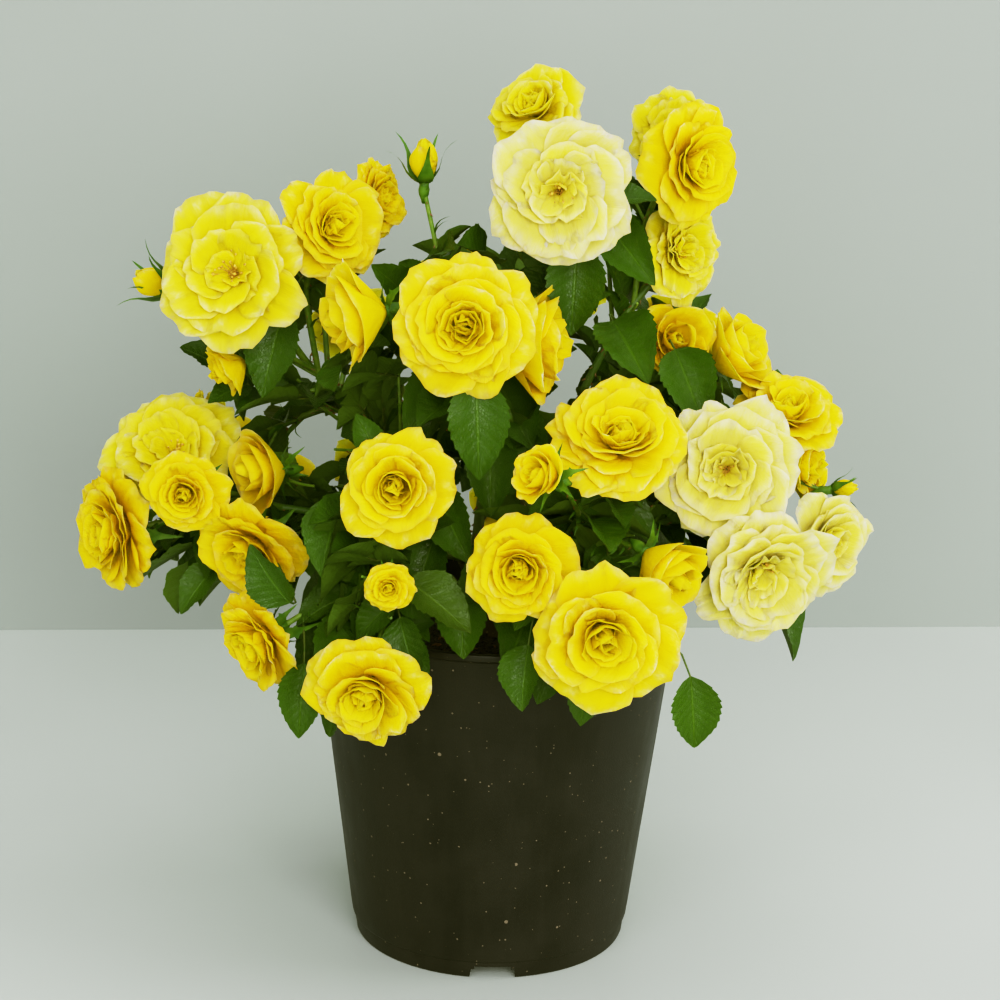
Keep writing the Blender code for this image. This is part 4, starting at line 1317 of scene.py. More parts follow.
class Crown:
    """The whole plant's growth, by the rule of the part's source."""

    def __init__(self) -> None:
        """Grows the limbs, and then each mass."""
        g = GROWTH
        self.routes = self.plan_limbs()
        self.arms = [Stem(self.routes[c], 0, g.arm_length, 3, (g.cane_radii[0],) * 2)
                     for c in CANES]
        self.limbs = {name: self.plan_limb(name) for name in self.routes}
        stems = {mass.name: self.plan_mass(mass) for mass in MASSES}
        self.space = Space([*self.arms, *self.limbs.values()], stems)
        self.masses = [self.grow_mass(mass, *stems[mass.name]) for mass in MASSES]
        taken = [blade.middle for grown in self.masses for leaf in grown.leaves
                 for blade in leaf.leaflets]
        for grown in self.masses:
            self.carry_on(grown, taken)

    @staticmethod
    def plan_limbs() -> dict[str, Route]:
        """The route of every cane and side bough, from its foot to the heart of its mass."""
        g, routes = GROWTH, {}
        for k, name in enumerate(CANES):
            turn = g.first_cane_at + 2 * math.pi * k / len(CANES)
            outward = Vector((math.cos(turn), math.sin(turn), 0))
            leaving = outward * math.cos(g.cane_rise) + Vector((0, 0, math.sin(g.cane_rise)))
            foot = Vector((0, 0, POT.soil_top + GAP + g.knuckle_height * 0.4)) + outward * 0.003
            heart = heart_of(name)
            arriving = ((heart - foot).normalized() + outward * 0.5).normalized()
            routes[name] = Route(foot, leaving, heart, arriving)
        for name, (parent, share) in FORKS.items():
            cane = routes[parent]
            at = cane.length * g.cane_share * share
            fork, along, heart = cane.at(at), cane.tangent(at), heart_of(name)
            away = across(heart - fork, along)
            leaving = tipped(along, away, g.fork_angle)
            cane_radius = g.cane_radii[0] + (g.cane_radii[1] - g.cane_radii[0]) * share
            step = cane_radius / math.sin(g.fork_angle) + g.bough_radii[0] / math.tan(g.fork_angle)
            step += 2 * GAP
            outward = Vector((heart.x, heart.y, 0)) * 4
            arriving = ((heart - fork).normalized() + outward).normalized()
            routes[name] = Route(fork + leaving * step, leaving, heart, arriving)
        return routes

    def limb_end(self, name: str) -> float:
        """How far along its route a cane or bough ends and its mass begins."""
        share = GROWTH.bough_share if name in FORKS else GROWTH.cane_share
        return self.routes[name].length * share

    def plan_limb(self, name: str) -> Stem:
        """The cane or bough on a route.

        Args:
            name: The limb's name.

        Returns:
            Its stem.
        """
        g = GROWTH
        first, last = 0.0 if name in FORKS else g.arm_length + GAP, self.limb_end(name)
        radii = g.bough_radii if name in FORKS else g.cane_radii
        return Stem(self.routes[name], first, last, max(4, round((last - first) / g.ring_spacing)),
                    radii)

    def plan_mass(self, mass: Mass) -> tuple[Stem, list[Stem]]:
        """The stem of a mass, and the stalk of each of its blooms, to the foot of its hip.

        Args:
            mass: The mass.

        Returns:
            Its stem, and its stalks in the order of its blooms.
        """
        g, dice, route = GROWTH, random.Random(mass.seed), self.routes[mass.limb]
        leader = Stem(route, self.limb_end(mass.limb) + GAP, route.length, 4, g.stem_radii)
        stalks = []
        for bloom in mass.blooms:
            facing = bloom.axis
            foot = bloom.foot - facing * g.hip_height * 0.35
            start = leader.at(leader.length - dice.uniform(*g.stalk_forks))
            leaving = (foot - start + leader.tangent(leader.length) * 0.03).normalized()
            way = Route(start, leaving, foot, facing)
            stalks.append(Stem(way, 0, way.length, 3, g.peduncle_radii))
        return leader, stalks

    def grow_twigs(self, mass: Mass, bearer: Stem, count: int, dice: random.Random,
                   lengths: Pair) -> list[Stem]:
        """Twigs that leave a stem where there is room.

        Args:
            mass: The mass that they belong to.
            bearer: The stem that bears them.
            count: How many are wanted.
            dice: The mass's dice.
            lengths: The shortest and longest twig.

        Returns:
            The twigs.
        """
        twigs: list[Stem] = []
        for _ in range(GROWTH.twig_tries):
            if len(twigs) == count:
                break
            distance = dice.uniform(bearer.length * 0.15, bearer.length * 0.95)
            start, along = bearer.at(distance), bearer.tangent(distance)
            out = across(stray(dice), along)
            heading = (out + along * 0.8 + outwards(start) * 0.3).normalized()
            end = start + heading * dice.uniform(*lengths)
            way = Route(start, heading, end, (heading + Vector((0, 0, 0.5))).normalized())
            line = way.stretch(way.length * 0.25, way.length, 4)
            if self.space.free(line, mass.name) and not self.space.near_limb(line):
                twigs.append(Stem(way, 0, way.length, 3, GROWTH.twig_radii))
        return twigs

    def grow_leaves(self, mass: Mass, stems: list[tuple[Stem, float]], count: int,
                    dice: random.Random, sizes: Pair, taken: list[Vector],
                    apart: float) -> list[GrownLeaf]:
        """Leaves set on the stems at random, where there is room, with the largest tried first.

        Args:
            mass: The mass that they belong to.
            stems: Each stem that may bear them, and how far along it they start.
            count: How many are wanted.
            dice: The mass's dice.
            sizes: The largest and smallest leaf.
            taken: The middles of the leaflets that are there already, which is added to.
            apart: How far apart the leaflets' middles stay.

        Returns:
            The leaves.
        """
        g, grown = GROWTH, []
        lengths = [stem.length - first for stem, first in stems]
        for attempt in range(g.leaf_tries):
            if len(grown) == count:
                break
            stem, first = dice.choices(stems, lengths)[0]
            distance = dice.uniform(first, stem.length * 0.94)
            foot, along = stem.at(distance), stem.tangent(distance)
            out = across(stray(dice), along)
            splay, outward = dice.uniform(*g.leaf_splay), outwards(foot)
            points = (tipped(along, out, splay) + outward * 0.2).normalized()
            faces = Vector((0, 0, 0.8)) + outward * 0.8 + out * 0.2
            size = sizes[0] + (sizes[1] - sizes[0]) * attempt / g.leaf_tries
            leaf = plan_leaf(foot, points, faces, size * dice.uniform(0.92, 1.0))
            middles = [blade.middle for blade in leaf.leaflets]
            crowded = any((a - b).length < apart for a in middles for b in taken)
            if not crowded and self.space.leaf_fits(leaf, mass.name):
                grown.append(leaf)
                taken += middles
        return grown

    @staticmethod
    def set_leaf(leaf: Leaf, stems: list[tuple[Stem, float]]) -> GrownLeaf:
        """A leaf whose end leaflet is in a known place, on a stalk from the nearest stem.

        Args:
            leaf: The leaf.
            stems: Each stem that may bear it, and how far along it leaves start.

        Returns:
            The leaf as it has grown.
        """
        points = direction(*leaf.points)
        faces = across(direction(*leaf.faces), points)
        root = Vector(leaf.place) - points * leaf.length / 2
        spots = [stem.at(stem.length * i / 16) for stem, _ in stems for i in range(4, 16)]
        foot = min(spots, key=lambda spot: abs((spot - root).length - GROWTH.leaf_stalk * 0.8))
        stalk = Route(foot, (root - foot).normalized(), root, points)
        return GrownLeaf(stalk.stretch(0, stalk.length, 8),
                         [Leaflet(root, points, faces, leaf.length)])

    def grow_mass(self, mass: Mass, leader: Stem, stalks: list[Stem]) -> GrownMass:
        """Grows what the mass's solid has, from the same throws of the dice.

        Args:
            mass: The mass.
            leader: Its stem.
            stalks: Its blooms' stalks.

        Returns:
            The mass's twigs, bloom spins and leaves.
        """
        g, dice = GROWTH, random.Random(mass.seed)
        grown = GrownMass(mass, leader, stalks)
        grown.twigs = self.grow_twigs(mass, leader, g.twigs, dice, g.twig_length)
        grown.spins = [dice.uniform(0, 2 * math.pi) for _ in mass.blooms]
        stems = [(leader, 0.004), *((s, s.length * 0.2) for s in (*stalks, *grown.twigs))]
        grown.leaves = [self.set_leaf(leaf, stems) for leaf in mass.leaves]
        grown.leaves += self.grow_leaves(mass, stems, g.leaves, dice, g.leaf_sizes, [],
                                         g.leaflets_apart)
        return grown

    def carry_on(self, grown: GrownMass, taken: list[Vector]) -> None:
        """Carries a mass on to finer twigs and smaller leaves within the same reach.

        Args:
            grown: The mass, which is added to.
            taken: The middles of the leaflets that are there already, which is added to.
        """
        g, mass = GROWTH, grown.mass
        dice = random.Random(mass.seed + 1000)
        bearers = [grown.leader, *grown.stalks, *grown.twigs]
        for _ in range(g.fine_twigs):
            bearer = dice.choices(bearers, [b.length for b in bearers])[0]
            grown.fine_twigs += self.grow_twigs(mass, bearer, 1, dice, (0.018, 0.040))
        stems = [(grown.leader, 0.004)]
        stems += [(s, s.length * 0.15) for s in (*grown.stalks, *grown.twigs, *grown.fine_twigs)]
        grown.fine_leaves = self.grow_leaves(
            mass, stems, g.fine_leaves, dice, g.fine_sizes, taken, g.fine_apart)
        grown.fine_leaves += [self.set_leaf(make_leaf(*row), stems)
                              for row in INNER.get(mass.name, [])]
        for leaf in (*grown.leaves, *grown.fine_leaves):
            if len(leaf.leaflets) == 3:
                self.add_low_pair(leaf)

    def add_low_pair(self, leaf: GrownLeaf) -> None:
        """Gives a leaf the smaller pair of leaflets near its foot, each where there is room.

        Args:
            leaf: The leaf, which is added to.
        """
        g = GROWTH
        foot, end = leaf.stalk[0], leaf.stalk[-1]
        for blade in leaf.leaflets[1:3]:
            root = blade.root + (foot - end) * (g.side_leaflets_at - g.low_pair_at)
            low = Leaflet(root, blade.points, blade.faces, blade.length * g.low_pair_scale)
            if all(self.space.open(spot) for spot in leaflet_spots(low)):
                leaf.leaflets.append(low)


def shown(name: str, data: bpy.types.ID) -> Piece:
    """An object in the scene that holds a mesh, a light or a camera."""
    made = bpy.data.objects.new(name, data)
    bpy.context.scene.collection.objects.link(made)
    return made


def drawn(name: str, points: Iterable, faces: Sequence) -> Mesh:
    """A mesh from its points and faces.

    Args:
        name: Its name.
        points: Its vertices.
        faces: Each face's vertex numbers.

    Returns:
        The mesh.
    """
    mesh = bpy.data.meshes.new(name)
    mesh.from_pydata([tuple(point) for point in points], [], faces)
    return mesh


def dress(mesh: Mesh, finish: Material, crease: float = 180.0) -> None:
    """Shades a mesh smoothly up to a crease's angle in degrees, in one finish.

    Args:
        mesh: The mesh.
        finish: Its one material.
        crease: The angle, in degrees, over which an edge stays sharp.
    """
    mesh.polygons.foreach_set("use_smooth", [True] * len(mesh.polygons))
    if crease < 180.0:
        mesh.set_sharp_from_angle(angle=math.radians(crease))
    mesh.materials.append(finish)


def make_plain(piece: Piece) -> None:
    """Makes what a piece's modifiers give its own mesh, and takes them off."""
    graph = bpy.context.evaluated_depsgraph_get()
    mesh = bpy.data.meshes.new_from_object(piece.evaluated_get(graph))
    piece.modifiers.clear()
    piece.data = mesh


def tag(mesh: Mesh, name: str, values: Sequence[float], kind: str = "FLOAT") -> None:
    """Gives the points of a mesh an attribute."""
    key = "vector" if kind == "FLOAT_VECTOR" else "value"
    mesh.attributes.new(name, kind, "POINT").data.foreach_set(key, values)


def ring(radius: float, height: float, count: int) -> list[Triple]:
    """Points evenly round the Z axis."""
    turns = [2 * math.pi * k / count for k in range(count)]
    return [(radius * math.cos(turn), radius * math.sin(turn), height) for turn in turns]


def hoop(rings: int, count: int, first: int = 0) -> list[tuple]:
    """The faces between closed rings of points, from the first point's number.

    Args:
        rings: How many rings there are.
        count: How many points each has.
        first: The first point's number.

    Returns:
        The faces.
    """
    faces = []
    for low in range(first, first + (rings - 1) * count, count):
        for k in range(count):
            a, b = low + k, low + (k + 1) % count
            faces.append((a, b, b + count, a + count))
    return faces


def quads(numbers: np.ndarray) -> np.ndarray:
    """The faces between the rows and columns of a grid of points, given by their numbers."""
    corners = [numbers[:-1, :-1], numbers[:-1, 1:], numbers[1:, 1:], numbers[1:, :-1]]
    return np.stack(corners, axis=-1).reshape(-1, 4)


def strip(rows: int, count: int) -> list[list[int]]:
    """The faces between open rows of points."""
    return quads(np.arange(rows * count).reshape(rows, count)).tolist()


class Sheaf:
    """Many small shapes gathered into one mesh."""

    def __init__(self) -> None:
        """Starts empty."""
        self.count = 0
        self.points: list[np.ndarray] = []
        self.corners: list[np.ndarray] = []
        self.sizes: list[np.ndarray] = []
        self.charts: list[np.ndarray] = []
        self.slots: list[np.ndarray] = []

    def take(self, points: np.ndarray, faces: np.ndarray, chart: np.ndarray, slot: int) -> None:
        """Adds one shape.

        Args:
            points: Its vertices, one row each.
            faces: Its faces, one row each, all with as many corners.
            chart: Each vertex's place on the chart.
            slot: The number of its material.
        """
        self.points.append(points)
        self.corners.append((faces + self.count).ravel())
        self.sizes.append(np.full(len(faces), faces.shape[1], np.int32))
        self.charts.append(chart[faces.ravel()])
        self.slots.append(np.full(len(faces), slot, np.int32))
        self.count += len(points)

    def piece(self, name: str, finishes: Sequence[Material]) -> Piece:
        """The whole sheaf as one object, smoothly shaded.

        Args:
            name: The object's name.
            finishes: Its materials, in the order of their slots.

        Returns:
            The object.
        """
        mesh = bpy.data.meshes.new(name)
        corners, sizes = np.concatenate(self.corners), np.concatenate(self.sizes)
        mesh.vertices.add(self.count)
        mesh.vertices.foreach_set("co", np.concatenate(self.points).astype(np.float32).ravel())
        mesh.loops.add(len(corners))
        mesh.loops.foreach_set("vertex_index", corners.astype(np.int32))
        mesh.polygons.add(len(sizes))
        mesh.polygons.foreach_set("loop_start",
                                  np.concatenate([[0], np.cumsum(sizes)[:-1]]).astype(np.int32))
        mesh.polygons.foreach_set("material_index", np.concatenate(self.slots))
        mesh.polygons.foreach_set("use_smooth", np.ones(len(sizes), bool))
        mesh.update(calc_edges=True)
        chart = mesh.uv_layers.new(name=CHART)
        chart.uv.foreach_set("vector", np.concatenate(self.charts).astype(np.float32).ravel())
        mesh.validate()
        mesh.set_sharp_from_angle(angle=math.radians(100))
        for finish in finishes:
            mesh.materials.append(finish)
        return shown(name, mesh)


def settle(piece: Piece, nodes: Sequence[str] = ()) -> None:
    """Puts a finished piece on the plant's one body, and reports it.

    Args:
        piece: The piece.
        nodes: The nodes that it stands for.
    """
    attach(piece, "root")
    if nodes:
        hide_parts(*nodes)
    count = sum(len(face.vertices) - 2 for face in piece.data.polygons)
    log.info("%s: %d triangles", piece.name, count)


class Grower(Group):
    """A Geometry Nodes tree that is put on an object, given its sizes, and made a plain mesh."""

    def __init__(self, name: str, inputs: dict[str, tuple[str, object]]) -> None:
        """Makes the tree, which takes in geometry and a finish as well as the inputs given."""
        every = {"Geometry": ("Geometry", None), **inputs, "Finish": ("Material", None)}
        super().__init__(name, "Geometry", every, {"Geometry": "Geometry"})

    def finish(self, geometry: Socket) -> None:
        """Ends the tree: instances made real, shaded smooth, in the given finish."""
        w = self.wires
        real = w.put("GeometryNodeRealizeInstances", {"Geometry": geometry})
        smooth = w.put("GeometryNodeSetShadeSmooth", {"Geometry": real})
        dressed = w.put("GeometryNodeSetMaterial",
                        {"Geometry": smooth, "Material": self.given["Finish"]})
        self.tree.links.new(dressed, self.made["Geometry"])

    def grow(self, name: str, mesh: Mesh, **values: object) -> Piece:
        """Runs the tree on a mesh.

        Args:
            name: The new object's name.
            mesh: What the tree starts from.
            **values: The tree's inputs, with _ for a space.

        Returns:
            A plain mesh object.
        """
        made = shown(name, mesh)
        modifier = made.modifiers.new("Grow", "NODES")
        modifier.node_group = self.tree
        for label, value in values.items():
            modifier[self.names[label.replace("_", " ")]] = value
        make_plain(made)
        made.data.name = name
        return made


def join(name: str, pieces: list[Piece]) -> Piece:
    """Several objects made one.

    Args:
        name: The new object's name.
        pieces: The objects, which are used up.

    Returns:
        The object that holds them all.
    """
    with bpy.context.temp_override(active_object=pieces[0], object=pieces[0],
                                   selected_objects=pieces, selected_editable_objects=pieces):
        bpy.ops.object.join()
    pieces[0].name = name
    pieces[0].data.name = name
    return pieces[0]


def hidden_shape(name: str, points: Sequence, faces: Sequence,
                 charts: Sequence | None = None) -> Piece:
    """A small shape for a tree to repeat, kept out of the scene.

    Args:
        name: Its name.
        points: Its vertices.
        faces: Its faces.
        charts: Each vertex's place on the chart.

    Returns:
        The object, linked nowhere.
    """
    mesh = drawn(name, points, faces)
    if charts is not None:
        layer = mesh.uv_layers.new(name=CHART)
        for loop in mesh.loops:
            layer.data[loop.index].uv = charts[loop.vertex_index]
    return bpy.data.objects.new(name, mesh)


class Seat(NamedTuple):
    """Where one copy of a repeated shape goes: its place, its turn and its size."""

    place: Vector
    turn: Matrix
    size: Triple


def basis(side: Vector, points: Vector, faces: Vector) -> Matrix:
    """The turn that takes X, Y and Z to these three directions."""
    return Matrix((side, points, faces)).transposed()


def laid(place: Vector, points: Vector, faces: Vector, size: Triple) -> Seat:
    """The seat of a flat shape that points along one direction and faces another."""
    return Seat(place, basis(points.cross(faces), points, faces), size)


def make_spray() -> Grower:
    """A tree that puts a copy of one shape at each point, turned and sized by its attributes."""
    made = Grower("spray", {
        "Shape": ("Object", None), "Tile": ("Vector", (0.0, 0.0, 0.0)), "Tile Size": ("Float", 1.0),
    })
    w, given = made.wires, made.given
    shape = w.put("GeometryNodeObjectInfo", {"Object": given["Shape"]}, out="Geometry")
    turn, size = w.attribute("turn", "QUATERNION"), w.attribute("size", "FLOAT_VECTOR")
    copies = w.put("GeometryNodeInstanceOnPoints",
                   {"Points": given["Geometry"], "Instance": shape, "Rotation": turn,
                    "Scale": size})
    real = w.put("GeometryNodeRealizeInstances", {"Geometry": copies})
    scaled = w.scaled(w.attribute(CHART, "FLOAT_VECTOR"), given["Tile Size"])
    moved = w.put("ShaderNodeVectorMath", {0: scaled, 1: given["Tile"]}, operation="ADD")
    feeds = {"Geometry": real, "Name": CHART, "Value": moved}
    charted = w.put("GeometryNodeStoreNamedAttribute", feeds, data_type="FLOAT2", domain="CORNER")
    made.finish(charted)
    return made


def seat_mesh(seats: list[Seat]) -> Mesh:
    """The points of some seats, with their turns and sizes as attributes.

    Args:
        seats: The seats.

    Returns:
        A mesh of points only.
    """
    mesh = drawn("seats", [seat.place for seat in seats], [])
    tag(mesh, "turn", [x for seat in seats for x in seat.turn.to_quaternion()], "QUATERNION")
    tag(mesh, "size", [x for seat in seats for x in seat.size], "FLOAT_VECTOR")
    return mesh


def make_tube() -> Grower:
    """A tree that makes edges into tubes, with a relief on their rind.

    Each point's thickness attribute is its radius.
    """
    made = Grower("tube", {
        "Sides": ("Int", 10), "Ring Spacing": ("Float", 0.003),
        "Relief": ("Float", 0.10), "Relief Scale": ("Float", 220.0),
    })
    w, given = made.wires, made.given
    curve = w.put("GeometryNodeMeshToCurve", {"Mesh": given["Geometry"]})
    even = w.put("GeometryNodeResampleCurve", {"Curve": curve, "Length": given["Ring Spacing"]},
                 mode="LENGTH")
    thick = w.attribute("thickness", "FLOAT")
    circle = w.put("GeometryNodeCurvePrimitiveCircle",
                   {"Resolution": given["Sides"], "Radius": 1.0})
    feeds = {"Curve": even, "Profile Curve": circle, "Scale": thick, "Fill Caps": True}
    tube = w.put("GeometryNodeCurveToMesh", feeds)
    place = w.put("GeometryNodeInputPosition")
    bumps = w.noise(place, given["Relief Scale"])
    height = w.times(w.math("SUBTRACT", bumps, 0.5), w.times(thick, given["Relief"]))
    normal = w.put("GeometryNodeInputNormal")
    push = w.scaled(normal, height)
    made.finish(w.put("GeometryNodeSetPosition", {"Geometry": tube, "Offset": push}))
    return made


class Run(NamedTuple):
    """A line that a tube follows, with its radius and age at each point."""

    points: list[Vector]
    radii: list[float]
    ages: list[float]


def run_mesh(runs: list[Run]) -> Mesh:
    """The edges of some runs, with their radii and ages as attributes.

    Args:
        runs: The runs.

    Returns:
        A mesh of edges only.
    """
    mesh = bpy.data.meshes.new("runs")
    edges, first = [], 0
    for run in runs:
        edges += [(first + i, first + i + 1) for i in range(len(run.points) - 1)]
        first += len(run.points)
    mesh.from_pydata([tuple(p) for run in runs for p in run.points], edges, [])
    tag(mesh, "thickness", [radius for run in runs for radius in run.radii])
    tag(mesh, "age", [age for run in runs for age in run.ages])
    return mesh


def eased(line: Line, count: int, reach: float) -> list[Vector]:
    """Points along a run of chords with its corners eased.

    Args:
        line: The run.
        count: How many points are wanted.
        reach: How far each side of a point is taken into account, in metres.

    Returns:
        The points, with both ends kept.
    """
    points = []
    for i in range(count):
        s = line.length * i / (count - 1)
        by = min(reach, s, line.length - s)
        points.append((line.at(s - by) + line.at(s) * 2 + line.at(s + by)) / 4)
    return points


@dataclass
class NurseryPot:
    """The pot: a thin turned shell with a rolled lip, a stepped foot and four drain channels."""

    sizes: PotSizes
    segments: int = 128
    lip_round: float = 0.0007

    def profile(self) -> list[Pair]:
        """The turned outline from the middle of the underside round the lip to the inside."""
        s = self.sizes
        lip_foot = s.height - s.lip_height
        inner = s.lip_radius - s.lip_proud - s.wall
        r, top = self.lip_round, s.height
        outer = [(s.radius(0) - s.foot_inset - 0.0012, 0.0),
                 (s.radius(0) - s.foot_inset - 0.0003, 0.0004),
                 (s.radius(0.0014) - s.foot_inset, 0.0014)]
        outer += [(s.radius(s.foot_height) - s.foot_inset, s.foot_height),
                  (s.radius(s.foot_height) - 0.0001, s.foot_height + s.foot_inset * 0.8),
                  (s.radius(s.foot_height) + 0.0001, s.foot_height + s.foot_inset * 1.6)]
        wall = [(s.radius(z), z) for z in np.linspace(0.016, lip_foot - 0.0016, 18)]
        lip = [(s.radius(lip_foot), lip_foot - 0.0002),
               (s.lip_radius - 0.0004, lip_foot + s.lip_proud * 0.7),
               (s.lip_radius, lip_foot + s.lip_proud),
               (s.lip_radius, top - r), (s.lip_radius - r * 0.3, top - r * 0.3),
               (s.lip_radius - r, top),
               (inner + r, top), (inner + r * 0.3, top - r * 0.3), (inner, top - r)]
        inside = [(s.radius(z) - s.wall, z) for z in np.linspace(top - 0.008, s.base + 0.002, 12)]
        return [(0.0, 0.0), *outer, *wall, *lip, *inside,
                (s.radius(s.base) - s.wall - 0.002, s.base), (0.0, s.base)]

    def build(self, finish: Material) -> None:
        """Turns the shell and cuts its channels.

        Args:
            finish: The plastic.
        """
        n, rounds = self.segments, self.profile()[1:-1]
        points = [(0, 0, 0), *(spot for radius, z in rounds for spot in ring(radius, z, n))]
        points.append((0, 0, self.sizes.base))
        last = len(points) - 1
        faces = [(0, 1 + (k + 1) % n, 1 + k) for k in range(n)] + hoop(len(rounds), n, 1)
        faces += [(last - n + k, last - n + (k + 1) % n, last) for k in range(n)]
        pot = shown("nursery_pot", drawn("nursery_pot", points, faces))
        cutters = [self.cut(pot, k) for k in range(self.sizes.channels)]
        make_plain(pot)
        for cutter in cutters:
            bpy.data.objects.remove(cutter)
        pot.data.materials.clear()
        dress(pot.data, finish, 38)
        settle(pot, ["pot"])

    def cut(self, pot: Piece, number: int) -> Piece:
        """Cuts one drain channel, with slanting sides.

        Args:
            pot: The shell.
            number: Which channel, from the front.

        Returns:
            The cutter, to be removed afterwards.
        """
        s = self.sizes
        turn = 2 * math.pi * number / s.channels + s.channel_turn - math.pi / 2
        middle, long = (s.channel_inner_end + s.lip_radius) / 2, s.lip_radius - s.channel_inner_end
        bm = bmesh.new()
        bmesh.ops.create_cube(bm, size=1)
        for v in bm.verts:
            x, y, z = v.co
            wide = s.channel_width * (0.90 if z > 0 else 1.04)
            v.co = Vector((middle + x * long, y * wide, z * 2 * s.channel_height))
        bmesh.ops.bevel(bm, geom=[e for e in bm.edges if all(v.co.z > 0 for v in e.verts)],
                        offset=0.0016, segments=2, affect="EDGES")
        bmesh.ops.rotate(bm, verts=bm.verts, matrix=Matrix.Rotation(turn, 3, "Z"))
        mesh = bpy.data.meshes.new(f"channel_{number}")
        bm.to_mesh(mesh)
        bm.free()
        cutter = shown(mesh.name, mesh)
        cutting = pot.modifiers.new(mesh.name, "BOOLEAN")
        cutting.operation, cutting.object, cutting.solver = "DIFFERENCE", cutter, "EXACT"
        return cutter


@dataclass
class PottingSoil:
    """The soil that fills the pot, with crumbs and bark chips lying on it."""

    sizes: PotSizes
    rings: int = 16
    segments: int = 72
    crumbs: float = 150000.0
    chips: float = 6500.0
    lump_height: float = 0.0011

    def height(self, radius: float, turn: float) -> float:
        """How high the soil stands at a place, lumps and all.

        Args:
            radius: The place's distance from the pot's axis.
            turn: Its angle round the axis.

        Returns:
            The height.
        """
        edge = self.sizes.radius(self.sizes.soil_top) - self.sizes.wall
        share = radius / edge
        lumps = math.sin(turn * 3 + share * 9) * math.sin(share * 13 + turn)
        lumps += math.sin(turn * 7 - share * 17) * 0.5
        level = self.sizes.soil_top - self.sizes.soil_crown * share**2
        return level + self.lump_height * lumps * (1 - share**6)

    def build(self, soil: Material, chip: Material) -> None:
        """Makes the bed, and scatters on it.

        Args:
            soil: The finish of the bed and its crumbs.
            chip: The finish of the bark chips.
        """
        s = self.sizes
        foot, edge = s.base + GAP, s.radius(s.soil_top) - s.wall - 3 * GAP
        points, faces, n = [(0, 0, self.height(0, 0))], [], self.segments
        for i in range(1, self.rings + 1):
            radius = edge * i / self.rings
            points += [(x, y, self.height(radius, 2 * math.pi * k / n))
                       for k, (x, y, _) in enumerate(ring(radius, 0, n))]
        points += ring(s.radius(foot) - s.wall - 3 * GAP, foot, n)
        for k in range(n):
            after = (k + 1) % n
            faces.append((0, 1 + k, 1 + after))
            for i in range(self.rings):
                a, b = 1 + i * n + k, 1 + i * n + after
                faces.append((a, a + n, b + n, b))
        faces.append(tuple(reversed(range(len(points) - n, len(points)))))
        mesh = drawn("soil_bed", points, faces)
        dress(mesh, soil, 50)
        settle(shown("soil_bed", mesh), ["soil"])
        tree = self.scatter()
        top = mesh.copy()
        bm = bmesh.new()
        bm.from_mesh(top)
        bmesh.ops.delete(bm, geom=[f for f in bm.faces if f.normal.z < 0.4], context="FACES")
        bm.to_mesh(top)
        bm.free()
        crumb, flake = self.lump("crumb", 0.34, 0.0), self.lump("flake", 0.25, 1.0)
        for name, shape, density, seed, small, large, finish in (
            ("soil_crumbs", crumb, self.crumbs, 3, 0.0007, 0.0024, soil),
            ("soil_chips", flake, self.chips, 8, 0.0030, 0.0085, chip),
        ):
            made = tree.grow(name, top.copy(), Shape=shape, Density=density, Seed=seed,
                             Smallest=small, Largest=large, Finish=finish)
            settle(made)

    @staticmethod
    def lump(name: str, rough: float, flat: float) -> Piece:
        """A small broken lump, or a flake of bark.

        Args:
            name: Its name.
            rough: How uneven it is.
            flat: 1 for a long flake, 0 for a crumb.

        Returns:
            The shape, one unit long.
        """
        dice = random.Random(name)
        bm = bmesh.new()
        bmesh.ops.create_icosphere(bm, subdivisions=1, radius=0.5)
        for v in bm.verts:
            v.co *= 1 + dice.uniform(-rough, rough)
            v.co.y *= 1 - 0.62 * flat
            v.co.z *= 1 - 0.78 * flat
        shape = hidden_shape(name, [v.co.copy() for v in bm.verts],
                             [[v.index for v in f.verts] for f in bm.faces])
        bm.free()
        return shape

    @staticmethod
    def scatter() -> Grower:
        """A tree that throws copies of a shape over a surface."""
        made = Grower("scatter", {
            "Shape": ("Object", None), "Density": ("Float", 1000.0), "Seed": ("Int", 1),
            "Smallest": ("Float", 0.001), "Largest": ("Float", 0.002),
        })
        w, given = made.wires, made.given
        spots = w.put("GeometryNodeDistributePointsOnFaces",
                      {"Mesh": given["Geometry"], "Density": given["Density"],
                       "Seed": given["Seed"]})
        shape = w.put("GeometryNodeObjectInfo", {"Object": given["Shape"]}, out="Geometry")
        spin = w.put("FunctionNodeRandomValue",
                     {0: (-0.35, -0.35, 0.0), 1: (0.35, 0.35, 6.283), "Seed": given["Seed"]},
                     data_type="FLOAT_VECTOR")
        feeds = {2: given["Smallest"], 3: given["Largest"], "Seed": given["Seed"]}
        size = w.put("FunctionNodeRandomValue", feeds, out=1, data_type="FLOAT")
        made.finish(w.put("GeometryNodeInstanceOnPoints",
                          {"Points": spots, "Instance": shape, "Rotation": spin, "Scale": size}))
        return made


